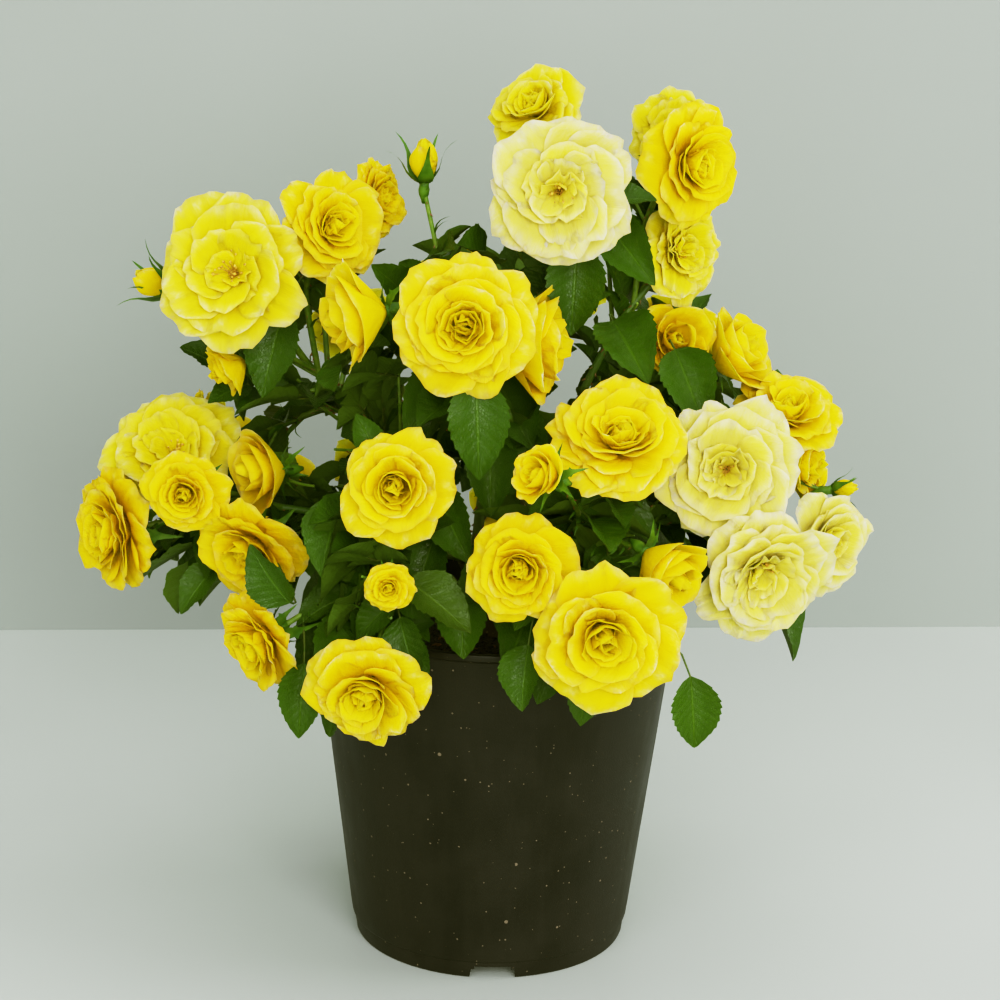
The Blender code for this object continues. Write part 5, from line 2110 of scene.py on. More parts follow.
@dataclass
class Wood:
    """The root crown, canes, boughs, twigs and stalks, with their prickles."""

    crown: Crown
    step: float = 0.004
    eased_by: float = 0.006
    twig_eased_by: float = 0.009
    twig_radii: Pair = (0.0013, 0.0009)
    fine_twig_radii: Pair = (0.0010, 0.0007)
    knuckle_age: float = 1.2
    prickles_per_metre: float = 150.0
    prickly_radius: float = 0.004

    def long_run(self, mass: Mass, leader: Stem) -> Run:
        """One unbroken run from the root crown, or from the fork, to the heart of a mass.

        Args:
            mass: The mass at its end.
            leader: The mass's stem.

        Returns:
            The run.
        """
        g, name = GROWTH, mass.limb
        limb = self.crown.limbs[name]
        points, radii = list(limb.points), []
        if name in FORKS:
            parent, share = FORKS[name]
            cane = self.crown.routes[parent]
            points = [cane.at(cane.length * g.cane_share * share), *points]
            radii.append(limb.radii[0])
        else:
            arm = self.crown.arms[CANES.index(name)]
            points = [*arm.points, *points]
            radii += [arm.radii[0]] * 3
        radii += taper(limb.radii, len(limb.points)) + taper(leader.radii, len(leader.points))
        line = Line(points + leader.points)
        count = round(line.length / self.step)
        smooth = eased(line, count, self.eased_by)
        thick = [float(np.interp(line.length * i / (count - 1), line.lengths, radii))
                 for i in range(count)]
        old = 0.72 if name in FORKS else 1.0
        ages = [old * (1 - i / (count - 1)) ** 1.4 for i in range(count)]
        return Run(smooth, thick, ages)

    def short_run(self, stem: Stem, radii: Pair, age: float) -> Run:
        """A twig or stalk as a run.

        Args:
            stem: The twig or stalk.
            radii: Its radius at its start and its end.
            age: How old its rind is, from 0 to 1.

        Returns:
            The run.
        """
        count = max(5, round(stem.length / self.step))
        points = eased(stem, count, min(self.twig_eased_by, stem.length * 0.25))
        return Run(points, taper(radii, count), [age] * count)

    def build(self, tube: Grower, spray: Grower, bark: Material, green: Material,
              thorn: Material) -> None:
        """Makes the limbs, the stalks and the prickles.

        Args:
            tube: The tree that makes runs into tubes.
            spray: The tree that puts shapes at points.
            bark: The canes' rind.
            green: The stalks' finish.
            thorn: The prickles' finish.
        """
        dice = random.Random(41)
        limbs = [self.long_run(grown.mass, grown.leader) for grown in self.crown.masses]
        twigs, stalks = [], []
        for grown in self.crown.masses:
            twigs += [self.short_run(stem, self.twig_radii, 0.25) for stem in grown.twigs]
            twigs += [self.short_run(stem, self.fine_twig_radii, 0.15) for stem in grown.fine_twigs]
            for bloom, stem in zip(grown.mass.blooms, grown.stalks):
                thick = 0.0009 + bloom.width * 0.010
                stalks.append(self.short_run(stem, (thick * 1.1, thick), dice.uniform(0.0, 0.35)))
        for name, runs, sides, spacing, relief, scale, finish, nodes in (
            ("canes_and_boughs", limbs, 12, 0.0028, 0.34, 300.0, bark, [*self.crown.limbs]),
            ("twigs", twigs, 6, 0.0045, 0.25, 500.0, green, []),
            ("bloom_stalks", stalks, 8, 0.0040, 0.2, 500.0, green, []),
        ):
            made = tube.grow(name, run_mesh(runs), Sides=sides, Ring_Spacing=spacing, Relief=relief,
                             Relief_Scale=scale, Finish=finish)
            settle(made, nodes)
        settle(self.knuckle(bark), ["root_crown"])
        seats = [seat for run in limbs + twigs + stalks for seat in self.prickle_seats(run, dice)]
        settle(spray.grow("prickles", seat_mesh(seats), Shape=self.prickle(), Finish=thorn))

    def prickle_seats(self, run: Run, dice: random.Random) -> list[Seat]:
        """Where prickles stand along a run.

        Args:
            run: The run.
            dice: Where their places and sizes come from.

        Returns:
            The seats.
        """
        line, seats = Line(run.points), []
        share = 0.35 + run.radii[0] / self.prickly_radius
        for _ in range(round(line.length * self.prickles_per_metre * share)):
            s = dice.uniform(line.length * 0.08, line.length * 0.96)
            along = line.tangent(s)
            out = across(stray(dice), along)
            radius = float(np.interp(s, line.lengths, run.radii))
            size = (0.0011 + radius * 0.75) * dice.uniform(0.7, 1.2)
            faces = (out - along * 0.25).normalized()
            side = across(along, faces)
            seats.append(Seat(line.at(s) + out * radius * 0.86,
                              basis(side, faces.cross(side), faces), (size,) * 3))
        return seats

    @staticmethod
    def prickle() -> Piece:
        """A down-hooked prickle one unit tall, long along the stem at its foot."""
        points = []
        rounds = ((-0.1, 0.46, 0.20, 0.0), (0.30, 0.24, 0.12, -0.10), (0.65, 0.11, 0.07, -0.26))
        for height, long, wide, back in rounds:
            points += [(long + back, 0, height), (back, wide, height), (back - long, 0, height),
                       (back, -wide, height)]
        points.append((-0.52, 0, 1.0))
        tip = [(8 + k, 8 + (k + 1) % 4, 12) for k in range(4)]
        return hidden_shape("prickle", points, hoop(3, 4) + tip)

    def knuckle(self, bark: Material) -> Piece:
        """The lumpy knuckle that the canes rise from, standing on the soil.

        Args:
            bark: The canes' rind.

        Returns:
            The knuckle.
        """
        g, foot, n = GROWTH, POT.soil_top + GAP, 28
        rounds = ((1.30, -0.004), (1.22, 0.0), (1.12, 0.14), (1.02, 0.34), (0.96, 0.52),
                  (0.82, 0.74), (0.60, 0.92), (0.28, 1.03))
        points = []
        for share, rise in rounds:
            for k in range(n):
                turn = 2 * math.pi * k / n
                lump = 1 + 0.09 * math.sin(turn * 7 - 1.2) * (1 - rise * 0.4)
                lump = lump + 0.05 * math.sin(turn * 3 + rise * 7)
                lump = lump + 0.03 * math.sin(turn * 13 + rise * 23)
                radius = g.knuckle_radius * share * lump
                height = foot + g.knuckle_height * max(rise, -0.02)
                points.append((radius * math.cos(turn), radius * math.sin(turn), height))
        top = len(points)
        points.append((0, 0, foot + g.knuckle_height * 1.06))
        faces = [*hoop(len(rounds), n), tuple(reversed(range(n)))]
        faces += [(top - n + k, top - n + (k + 1) % n, top) for k in range(n)]
        mesh = drawn("root_knuckle", points, faces)
        dress(mesh, bark)
        tag(mesh, "age", [self.knuckle_age] * len(points))
        return shown("root_knuckle", mesh)


@dataclass
class Foliage:
    """Every leaf: serrated leaflets in a few shapes and greens, on thin stalks."""

    crown: Crown
    shapes: int = 5
    teeth: int = 11

    def leaflet(self, number: int) -> Piece:
        """One leaflet shape a unit long, along +Y and facing +Z.

        Args:
            number: Which of the shapes, for its own curl and waves.

        Returns:
            The shape, charted from side to side and from foot to tip.
        """
        g, dice = GROWTH, random.Random(700 + number)
        half = g.leaflet_width / 2
        waves, twist = dice.uniform(0.010, 0.026), dice.uniform(-0.05, 0.05)
        fold = g.leaflet_fold * dice.uniform(1.8, 3.2)
        droop = g.leaflet_droop * dice.uniform(0.5, 1.25)
        phase, n = dice.uniform(0, 6), self.teeth
        broad = dice.uniform(0.90, 1.04)

        def at(v: float, u: float, out: float = 1.0) -> Vector:
            """A point of the blade: v from foot to tip, u from -1 to 1 across."""
            swell = math.sin(math.pi * v**0.86) ** 0.78 if 0 < v < 1 else 0.0
            reach = half * broad * swell * (1 - 0.10 * v)
            x = u * reach * out
            lift = fold * (abs(u) ** 1.15) * reach / half
            ripple = waves * math.sin(v * 17 + phase + (2.0 if u > 0 else 0.0)) * abs(u) ** 2
            z = lift + ripple - droop * v**2.2 + twist * x * v
            return Vector((x, v - 0.05 * abs(u) * reach, z))

        points, charts, faces = [], [], []

        def put(v: float, u: float, out: float = 1.0) -> int:
            """Adds a point with its chart place, and returns its number."""
            points.append(at(v, u, out))
            charts.append((CHART_INSET + CHART_SPAN * (u + 1) / 2, CHART_INSET + CHART_SPAN * v))
            return len(points) - 1

        stations = [i / n for i in range(n + 1)]
        rib = [put(v, 0.0) for v in stations]
        for sign in (-1, 1):
            inner = [rib[0], *[put(v, 0.55 * sign) for v in stations[1:-1]], rib[-1]]
            edge = [rib[0]]
            tips = []
            for i in range(n):
                v = (i + 0.78) / n
                tips.append(put(v * 0.985 + 0.012, sign, 1.035) if i else put(0.70 / n, sign, 0.97))
                edge.append(put((i + 1) / n, sign, 0.955) if i < n - 1 else rib[-1])
            for i in range(n):
                quad = [rib[i], rib[i + 1], inner[i + 1], inner[i]]
                fan = [inner[i], inner[i + 1], edge[i + 1], tips[i], edge[i]]
                for loop in (quad, fan):
                    loop = list(dict.fromkeys(loop))
                    if len(loop) >= 3:
                        faces.append(loop if sign < 0 else loop[::-1])
        return hidden_shape(f"leaflet_{number}", points, faces, charts)

    def build(self, spray: Grower, tube: Grower, blades: dict[Tone, Material],
              green: Material) -> None:
        """Makes the leaflets of each green and all the leaf stalks.

        Args:
            spray: The tree that puts shapes at points.
            tube: The tree that makes runs into tubes.
            blades: The finish of each green.
            green: The stalks' finish.
        """
        dice = random.Random(55)
        shapes = [self.leaflet(k) for k in range(self.shapes)]
        for label, back in (("front", False), ("back", True)):
            masses = [grown for grown in self.crown.masses if grown.mass.at_back == back]
            seats: dict[tuple[Tone, int], list[Seat]] = {}
            runs: list[Run] = []
            for grown in masses:
                for leaf in (*grown.leaves, *grown.fine_leaves):
                    tone = self.tone(leaf, dice)
                    for blade in leaf.leaflets:
                        key = (tone, dice.randrange(self.shapes))
                        seats.setdefault(key, []).append(self.seat(blade, dice))
                    runs += self.stalk_runs(leaf)
            made = [
                spray.grow(f"leaf_spray_{tone.name}_{k}", seat_mesh(found), Shape=shapes[k],
                           Tile=(*tone.value, 0.0), Tile_Size=0.5, Finish=blades[tone])
                for (tone, k), found in sorted(seats.items(),
                                               key=lambda row: (row[0][0].name, row[0][1]))
            ]
            nodes = ["foliage_" + grown.mass.name for grown in masses]
            settle(join(f"leaves_{label}", made), nodes)
            stalks = tube.grow(f"leaf_stalks_{label}", run_mesh(runs), Sides=4, Ring_Spacing=0.006,
                               Relief=0.1, Relief_Scale=400.0, Finish=green)
            settle(stalks)

    @staticmethod
    def tone(leaf: GrownLeaf, dice: random.Random) -> Tone:
        """The green of a leaf: dark and old ones low down and inside, fresh ones at the tips.

        Args:
            leaf: The leaf.
            dice: The greens' dice.

        Returns:
            Its green.
        """
        outer = (leaf.stalk[0] - Vector(GROWTH.crown_middle)).length / 0.16
        throw = dice.random() + outer * 0.35
        steps = ((1.12, Tone.FRESH), (0.72, Tone.MIDDLE), (0.24, Tone.DARK))
        return next((tone for least, tone in steps if throw > least), Tone.OLD)

    @staticmethod
    def seat(blade: Leaflet, dice: random.Random) -> Seat:
        """A leaflet's seat, tilted a little from where the rule puts it.

        Args:
            blade: The leaflet.
            dice: Where its tilt comes from.

        Returns:
            The seat.
        """
        points = blade.points
        faces = across((blade.faces + stray(dice, 0.10)).normalized(), points)
        size = (blade.length * dice.uniform(0.92, 1.06), blade.length, blade.length)
        return laid(blade.root - points * 0.0008, points, faces, size)

    @staticmethod
    def stalk_runs(leaf: GrownLeaf) -> list[Run]:
        """The thin runs of a leaf's stalk and of each side leaflet's own.

        Args:
            leaf: The leaf.

        Returns:
            The stalk's run first.
        """
        radius = GROWTH.leaf_stalk_radius * 0.85
        line = Line(leaf.stalk)
        points = line.stretch(0, line.length, 6)
        runs = [Run(points, [radius * (1.15 - 0.07 * i) for i in range(6)], [0.1] * 6)]
        for blade in leaf.leaflets[1:]:
            nearest = min(line.stretch(0, line.length, 30), key=lambda p: (p - blade.root).length)
            runs.append(Run([nearest, blade.root + blade.points * 0.002],
                            [radius * 0.7, radius * 0.6], [0.1] * 2))
        return runs


@dataclass(frozen=True)
class Whorl:
    """One ring of petals. Lengths and widths are shares of half the bloom's width.

    How loose it is, from 0 to 1, says how far its petals stray from the rule.
    """

    count: int
    length: float
    width: float
    angles: Triple
    wrap: float
    rise: float
    ruffle: float
    recurve: float
    column: int
    loose: float

    @property
    def grid(self) -> tuple[int, int]:
        """How many rows and columns of faces its petals have, fewer towards the heart."""
        return (9, 12) if self.column < 2 else (8, 10) if self.column < 5 else (7, 6)


HABITS: dict[Habit, list[Whorl]] = {
    FLAT: [
        Whorl(7, 1.05, 0.50, (52, 78, 94), 0.30, 0.00, 0.045, 0.06, 0, 0.32),
        Whorl(6, 0.88, 0.48, (42, 68, 80), 0.35, 0.03, 0.045, 0.03, 1, 0.34),
        Whorl(5, 0.64, 0.40, (36, 54, 60), 0.45, 0.06, 0.050, 0.02, 2, 0.45),
        Whorl(4, 0.42, 0.26, (26, 40, 44), 0.60, 0.08, 0.060, 0.00, 3, 0.80),
    ],
    RUFFLED: [
        Whorl(6, 1.05, 0.56, (50, 78, 98), 0.30, 0.00, 0.060, 0.12, 0, 0.42),
        Whorl(6, 0.94, 0.52, (42, 68, 84), 0.35, 0.03, 0.060, 0.05, 1, 0.42),
        Whorl(5, 0.76, 0.48, (36, 56, 66), 0.45, 0.05, 0.065, 0.03, 2, 0.48),
        Whorl(5, 0.56, 0.38, (30, 44, 44), 0.60, 0.08, 0.075, 0.02, 3, 0.62),
        Whorl(4, 0.40, 0.27, (24, 32, 22), 0.75, 0.10, 0.085, 0.00, 4, 0.80),
    ],
    ROSETTE: [
        Whorl(7, 1.01, 0.52, (46, 78, 96), 0.30, 0.00, 0.045, 0.15, 0, 0.40),
        Whorl(6, 0.88, 0.55, (40, 64, 76), 0.38, 0.03, 0.045, 0.07, 1, 0.40),
        Whorl(5, 0.75, 0.52, (34, 48, 48), 0.50, 0.06, 0.040, 0.04, 2, 0.38),
        Whorl(5, 0.64, 0.46, (34, 30, 16), 0.65, 0.09, 0.035, 0.02, 3, 0.42),
        Whorl(4, 0.54, 0.44, (30, 10, -18), 0.85, 0.13, 0.030, 0.00, 5, 0.50),
        Whorl(3, 0.50, 0.38, (18, 0, -44), 0.95, 0.16, 0.025, 0.00, 6, 0.50),
    ],
    SPIRAL: [
        Whorl(5, 1.03, 0.60, (44, 78, 98), 0.28, 0.00, 0.035, 0.18, 0, 0.42),
        Whorl(5, 0.84, 0.58, (38, 56, 60), 0.42, 0.03, 0.030, 0.06, 1, 0.36),
        Whorl(4, 0.77, 0.60, (40, 34, 24), 0.60, 0.05, 0.024, 0.03, 2, 0.30),
        Whorl(3, 0.73, 0.60, (44, 16, 0), 0.80, 0.07, 0.018, 0.02, 4, 0.28),
        Whorl(3, 0.70, 0.50, (34, 4, -22), 0.95, 0.09, 0.012, 0.00, 5, 0.26),
        Whorl(3, 0.67, 0.36, (16, -4, -40), 1.05, 0.11, 0.010, 0.00, 6, 0.26),
    ],
    LOOSE: [
        Whorl(5, 1.03, 0.62, (46, 78, 96), 0.30, 0.00, 0.055, 0.16, 0, 0.52),
        Whorl(5, 0.90, 0.60, (38, 58, 68), 0.42, 0.03, 0.050, 0.07, 1, 0.48),
        Whorl(4, 0.79, 0.58, (34, 42, 38), 0.55, 0.06, 0.040, 0.04, 2, 0.46),
        Whorl(4, 0.66, 0.50, (32, 22, 6), 0.70, 0.09, 0.040, 0.02, 4, 0.50),
        Whorl(4, 0.56, 0.40, (24, 4, -30), 0.90, 0.13, 0.030, 0.00, 6, 0.55),
    ],
    HALF: [
        Whorl(3, 1.42, 1.08, (66, 30, 46), 0.72, 0.00, 0.018, 0.14, 0, 0.28),
        Whorl(3, 1.40, 1.02, (60, 20, 24), 0.85, 0.03, 0.015, 0.06, 1, 0.22),
        Whorl(3, 1.39, 0.86, (48, 10, 2), 0.95, 0.05, 0.012, 0.03, 3, 0.22),
        Whorl(3, 1.37, 0.60, (30, 0, -22), 1.05, 0.08, 0.010, 0.00, 5, 0.28),
    ],
    CLOSED: [
        Whorl(3, 2.40, 0.95, (62, 10, -62), 1.00, 0.00, 0.006, 0.02, 1, 0.10),
        Whorl(3, 2.30, 0.85, (54, 8, -54), 1.05, 0.03, 0.006, 0.00, 4, 0.10),
        Whorl(3, 2.20, 0.60, (40, 2, -36), 1.10, 0.05, 0.006, 0.00, 6, 0.10),
    ],
}


@dataclass
class Blossom:
    """Every bloom, petal by petal, with its hip, its sepals and, where it is open, its stamens."""

    crown: Crown
    thickness: float = 0.00032
    claw: float = 0.20

    def petal(self, whorl: Whorl, dice: np.random.Generator) -> tuple[np.ndarray, np.ndarray]:
        """One petal's face in its own whorl, as if half the bloom's width were one.

        Args:
            whorl: Its whorl.
            dice: Where its own irregularities come from.

        Returns:
            The face's points on a grid that rises in x-z from the axis, and its chart from claw
            to margin.
        """
        (rows, columns), loose = whorl.grid, whorl.loose
        u = np.linspace(-1, 1, columns + 1)[None, :]
        v = np.linspace(0, 1, rows + 1)[:, None] ** 0.9
        phase = dice.uniform(0, 2 * np.pi, 4)
        notch, shift = dice.uniform(0.0, 0.10), dice.uniform(-0.35, 0.35)
        # The margin: rounded, with a notch and small waves.
        top = 1 - 0.36 * np.abs(u) ** 2.7 - notch * np.exp(-(((u - shift) / 0.2) ** 2))
        top = top + 0.022 * np.sin(u * 6.5 + phase[0]) + 0.012 * np.sin(u * 13.0 + phase[3])
        vv = v * (top * v**2 + 1 - v**2)
        # The midrib, which leans out by the whorl's angles and rolls back at its end.
        length = whorl.length * np.clip(dice.normal(1.0, 0.03 + 0.10 * loose), 0.82, 1.09)
        tilt, curl = dice.normal(0, 2 + 6 * loose), dice.normal(0, 4 + 8 * loose)
        a0, a1, a2 = np.radians(np.array(whorl.angles) + [0.3 * tilt, tilt, 1.2 * tilt + curl])
        fine = np.linspace(0, 1.08, 60)
        roll = np.clip((fine - 0.70) / 0.35, 0, 1) ** 2 * whorl.recurve * 5.0
        roll = roll * dice.uniform(0.1, 1.7)
        angle = (1 - fine) ** 2 * a0 + 2 * fine * (1 - fine) * a1 + fine**2 * a2 + roll
        step = np.diff(fine, prepend=0) * length
        out = 0.05 + np.cumsum(np.sin(angle) * step)
        up = whorl.rise + np.cumsum(np.cos(angle) * step)
        radius, height, lean = (np.interp(vv, fine, curve) for curve in (out, up, angle))
        # The width, from the claw up, bent round the bloom's axis.
        grown = np.sin(np.pi / 2 * np.clip(vv / 0.62, 0, 1)) ** 1.1
        wide = whorl.width * np.clip(dice.normal(1.0, 0.05 + 0.18 * loose), 0.72, 1.22)
        wide = wide * (self.claw + (1 - self.claw) * grown)
        s = u * wide
        bend = np.maximum(np.abs(radius), 0.14) / whorl.wrap
        bend = bend / dice.uniform(1 - 0.25 * loose, 1 + 0.25 * loose)
        sideways, inward = bend * np.sin(s / bend), bend * (1 - np.cos(s / bend))
        # Ruffles, a margin that curls back, and a twist.
        waves = np.sin(5.6 * u + phase[1]) * np.abs(u) + 0.6 * np.sin(10.5 * u + phase[2])
        waves = waves + 0.35 * np.sin(17.0 * u + 5 * vv + phase[3])
        inward = inward + whorl.ruffle * waves * vv**2 * 0.9
        margin = np.clip((np.abs(u) - 0.5) / 0.5, 0, 1) ** 2 * np.clip(vv - 0.15, 0, 1)
        inward = inward - whorl.recurve * wide * margin * dice.uniform(0.6, 1.3)
        inward = inward + s * (0.09 + dice.normal(0, 0.02 + 0.05 * loose)) * (0.4 + vv)
        sideways = sideways + dice.normal(0, 0.03 * loose) + dice.normal(0, 0.10 * loose) * vv**2
        points = np.stack([radius - np.cos(lean) * inward, sideways,
                           height + np.sin(lean) * inward], axis=-1)
        chart = np.stack(np.broadcast_arrays((u + 1) / 2, v), axis=-1)
        return points, chart

    def shell(self, face: np.ndarray) -> tuple[np.ndarray, np.ndarray]:
        """Closes a petal's face with a back, the two meeting at the margin.

        Args:
            face: The grid of the face's points.

        Returns:
            All the points, and all the faces.
        """
        along, sideways = np.gradient(face, axis=0), np.gradient(face, axis=1)
        normal = np.cross(along, sideways)
        normal /= np.maximum(np.linalg.norm(normal, axis=-1, keepdims=True), 1e-12)
        back = (face + normal * self.thickness)[1:-1, 1:-1]
        front = np.arange(face[..., 0].size).reshape(face.shape[:2])
        behind = front.copy()
        behind[1:-1, 1:-1] = front.size + np.arange(back[..., 0].size).reshape(back.shape[:2])
        points = np.concatenate([face.reshape(-1, 3), back.reshape(-1, 3)])
        return points, np.concatenate([quads(front), quads(behind)[:, ::-1]])

    def put_bloom(self, sheaf: Sheaf, bloom: Bloom, spin: float, seed: int) -> None:
        """Adds one bloom's petals to a sheaf.

        Args:
            sheaf: The sheaf.
            bloom: The bloom.
            spin: How far its first petal is turned, as on its solid.
            seed: The seed of its irregularities.
        """
        dice = np.random.default_rng(seed)
        turn = np.array(bloom.axis.to_track_quat("Z", "Y").to_matrix())
        foot = np.array(bloom.foot)
        lean = dice.normal(0, 0.06, 2)
        for number, whorl in enumerate(HABITS[bloom.habit]):
            start = spin + number * GOLDEN_ANGLE
            for k in range(whorl.count):
                face, chart = self.petal(whorl, dice)
                scatter = dice.normal(0, 0.03 + 0.26 * whorl.loose) * (1.0 if number else 0.7)
                angle = start + 2 * math.pi * k / whorl.count + scatter
                c, s = math.cos(angle), math.sin(angle)
                face = face @ np.array([[c, s, 0], [-s, c, 0], [0, 0, 1]])
                face[..., :2] += lean * face[..., 2:]
                points, faces = self.shell(face * (bloom.width / 2))
                column = min(max(whorl.column + int(dice.integers(-1, 2)), 0), PETAL_TILES[0] - 1)
                chart = np.concatenate([chart.reshape(-1, 2), chart[1:-1, 1:-1].reshape(-1, 2)])
                tile = chart * CHART_SPAN + CHART_INSET + [column, bloom.tint.value]
                sheaf.take(points @ turn.T + foot, faces, tile / PETAL_TILES, bloom.tint.value)

    def build(self, skins: dict[Tint, Material], green: Material,
              anther: Material, spray: Grower) -> None:
        """Makes the petals, the sepals, the hips and the stamens.

        Args:
            skins: The finish of each tint.
            green: The finish of the hips and sepals.
            anther: The stamens' finish.
            spray: The tree that puts shapes at points.
        """
        parts = {
            "top": ["top_centre", "top", "upper_right", "upper_left"],
            "right": ["right_shoulder", "right", "front"],
            "left": ["front_left", "left"],
            "back": [mass.name for mass in MASSES if mass.at_back],
        }
        finishes = [skins[tint] for tint in Tint]
        for label, names in parts.items():
            sheaf = Sheaf()
            for grown in self.crown.masses:
                if grown.mass.name in names:
                    for k, (bloom, spin) in enumerate(zip(grown.mass.blooms, grown.spins)):
                        self.put_bloom(sheaf, bloom, spin, grown.mass.seed * 100 + k)
            settle(sheaf.piece(f"petals_{label}", finishes))
        dice = random.Random(77)
        grown = [pair for m in self.crown.masses for pair in zip(m.mass.blooms, m.stalks)]
        open_, closed = ([b for b, _ in grown if (b.habit is CLOSED) == bud]
                         for bud in (False, True))
        for name, shape, finish, seats in (
            ("sepals", self.sepal(), green, [self.sepal_seats(b, dice) for b in open_]),
            ("calyxes", self.calyx_sepal(), green, [self.sepal_seats(b, dice) for b in closed]),
            ("bracts", self.bract(), green, [self.bract_seats(b, stem, dice) for b, stem in grown]),
            ("hips", self.hip(), green, [self.hip_seats(b) for b, _ in grown]),
            ("stamens", self.stamen(), anther, [self.stamen_seats(b, dice) for b, _ in grown]),
        ):
            every = seat_mesh([seat for found in seats for seat in found])
            settle(spray.grow(name, every, Shape=shape, Finish=finish))

    @staticmethod
    def sliver(name: str, rows: Iterable[Triple], cup: float) -> Piece:
        """A narrow blade a unit long, along +Y and facing +Z.

        Args:
            name: Its name.
            rows: Its place along Y, its height and half its width, from its foot to its tip.
            cup: How far its sides stand up, as a share of half its width.

        Returns:
            The shape.
        """
        points = [(x, y, z + abs(x) * cup) for y, z, half in rows for x in (-half, 0, half)]
        return hidden_shape(name, points, strip(len(points) // 3, 3))

    def sepal(self) -> Piece:
        """A sepal with a drawn-out tip and side teeth."""
        outline = ((0, 0.13), (0.18, 0.17), (0.34, 0.13), (0.40, 0.19), (0.46, 0.10), (0.62, 0.06),
                   (0.82, 0.035), (1.0, 0.0))
        return self.sliver("sepal", [(v, 0.07 * math.sin(v * 4), half) for v, half in outline],
                           0.35)

    def bract(self) -> Piece:
        """A narrow bract that arches over and draws to a point."""
        outline = ((0, 0.035), (0.12, 0.060), (0.30, 0.080), (0.48, 0.072), (0.66, 0.050),
                   (0.84, 0.026), (1.0, 0.0))
        rows = [(v - 0.10 * v * v, 0.30 * math.sin(v * 2.6) - 0.16 * v, half)
                for v, half in outline]
        return self.sliver("bract", rows, 0.5)

    @staticmethod
    def calyx_sepal() -> Piece:
        """A sepal that hugs a bud, along +Y up its side, and flares away from it at its tip."""
        profile = ((0, 0.01, 0.12), (0.06, 0.14, 0.15), (0.19, 0.25, 0.165), (0.32, 0.31, 0.13),
                   (0.45, 0.335, 0.08), (0.60, 0.36, 0.045), (0.75, 0.42, 0.030),
                   (0.88, 0.52, 0.022), (1.0, 0.66, 0.0))
        points = [(half * u, y, z - half * half * 1.1 * u * u)
                  for y, z, half in profile for u in (-1.0, -0.5, 0.0, 0.5, 1.0)]
        return hidden_shape("calyx_sepal", points, strip(len(profile), 5))

    @staticmethod
    def sepal_seats(bloom: Bloom, dice: random.Random) -> list[Seat]:
        """Five sepals round the bloom's foot: folded back on open blooms, held to the bud.

        Args:
            bloom: The bloom.
            dice: Where their irregularities come from.

        Returns:
            The seats.
        """
        facing, foot, bud = bloom.axis, bloom.foot, bloom.habit is CLOSED
        spread = 0 if bud else 96 if bloom.habit is HALF else 128
        size = bloom.width * 1.15 if bud else 0.011 + bloom.width * 0.14
        seats = []
        for k in range(5):
            out = round_axis(facing, 2 * math.pi * (k + dice.uniform(-0.12, 0.12)) / 5 + 0.4)
            angle = math.radians(dice.uniform(0, 20) if bud else spread + dice.uniform(-22, 22))
            points = tipped(facing, out, angle)
            faces = out if bud else across(facing * math.sin(angle) - out * math.cos(angle), points)
            faces = across(faces, points)
            long = size * (dice.uniform(0.96, 1.1) if bud else dice.uniform(0.8, 1.2))
            start = foot if bud else foot + out * 0.0022 - facing * 0.001
            seats.append(laid(start, points, faces, (long,) * 3))
        return seats

    @staticmethod
    def bract_seats(bloom: Bloom, stalk: Stem, dice: random.Random) -> list[Seat]:
        """Bracts along a bloom's stalk, with a tuft of them where it forks.

        Args:
            bloom: The bloom.
            stalk: Its stalk.
            dice: Where their irregularities come from.

        Returns:
            The seats.
        """
        seats = []
        for share, count in ((0.93, 1), (0.74, 2), (0.50, 2), (0.30, 1)):
            for _ in range(count):
                at = stalk.length * min(share + dice.uniform(-0.05, 0.04), 0.97)
                along = stalk.tangent(at)
                out = across(stray(dice) + Vector((0, -0.5, 0)), along)
                points = tipped(along, out, math.radians(dice.uniform(28, 74)))
                faces = across(along, points)
                long = dice.uniform(0.007, 0.016) + bloom.width * dice.uniform(0.04, 0.16)
                wide = long * dice.uniform(0.8, 1.25)
                seats.append(laid(stalk.at(at), points, faces, (wide, long, long)))
        return seats

    @staticmethod
    def hip() -> Piece:
        """A hip a unit tall under the bloom's foot, narrow at its stalk and flared at its top."""
        n = 10
        rounds = ((-1.05, 0.12), (-0.86, 0.19), (-0.62, 0.33), (-0.36, 0.38), (-0.14, 0.31),
                  (0.04, 0.36))
        points = [spot for z, radius in rounds for spot in ring(radius, z, n)]
        ends = [tuple(reversed(range(n))), tuple(range(5 * n, 6 * n))]
        return hidden_shape("hip", points, hoop(len(rounds), n) + ends)

    @staticmethod
    def hip_seats(bloom: Bloom) -> list[Seat]:
        """Where a bloom's one hip stands."""
        facing, tall = bloom.axis, GROWTH.hip_height
        side = facing.orthogonal().normalized()
        wide = tall * (0.62 + bloom.width * 5.5)
        return [Seat(bloom.foot, basis(side, facing.cross(side), facing), (wide, wide, tall))]

    @staticmethod
    def stamen() -> Piece:
        """A stamen a unit tall: a thin filament that bends, and its anther."""
        points, faces = [], hoop(3, 3)
        for z, x, radius in ((0, 0, 0.030), (0.45, 0.03, 0.024), (0.86, 0.09, 0.022)):
            points += [(x + radius * math.cos(t), radius * math.sin(t), z)
                       for t in (0, 2.094, 4.189)]
        first = len(points)
        points += [(0.09, 0, 0.82), (0.20, 0.0, 0.93), (0.10, 0.085, 0.93), (0.0, 0, 0.93),
                   (0.10, -0.085, 0.93), (0.12, 0, 1.04)]
        for k in range(4):
            a, b = first + 1 + k, first + 1 + (k + 1) % 4
            faces += [(first, b, a), (a, b, first + 5)]
        return hidden_shape("stamen", points, faces)

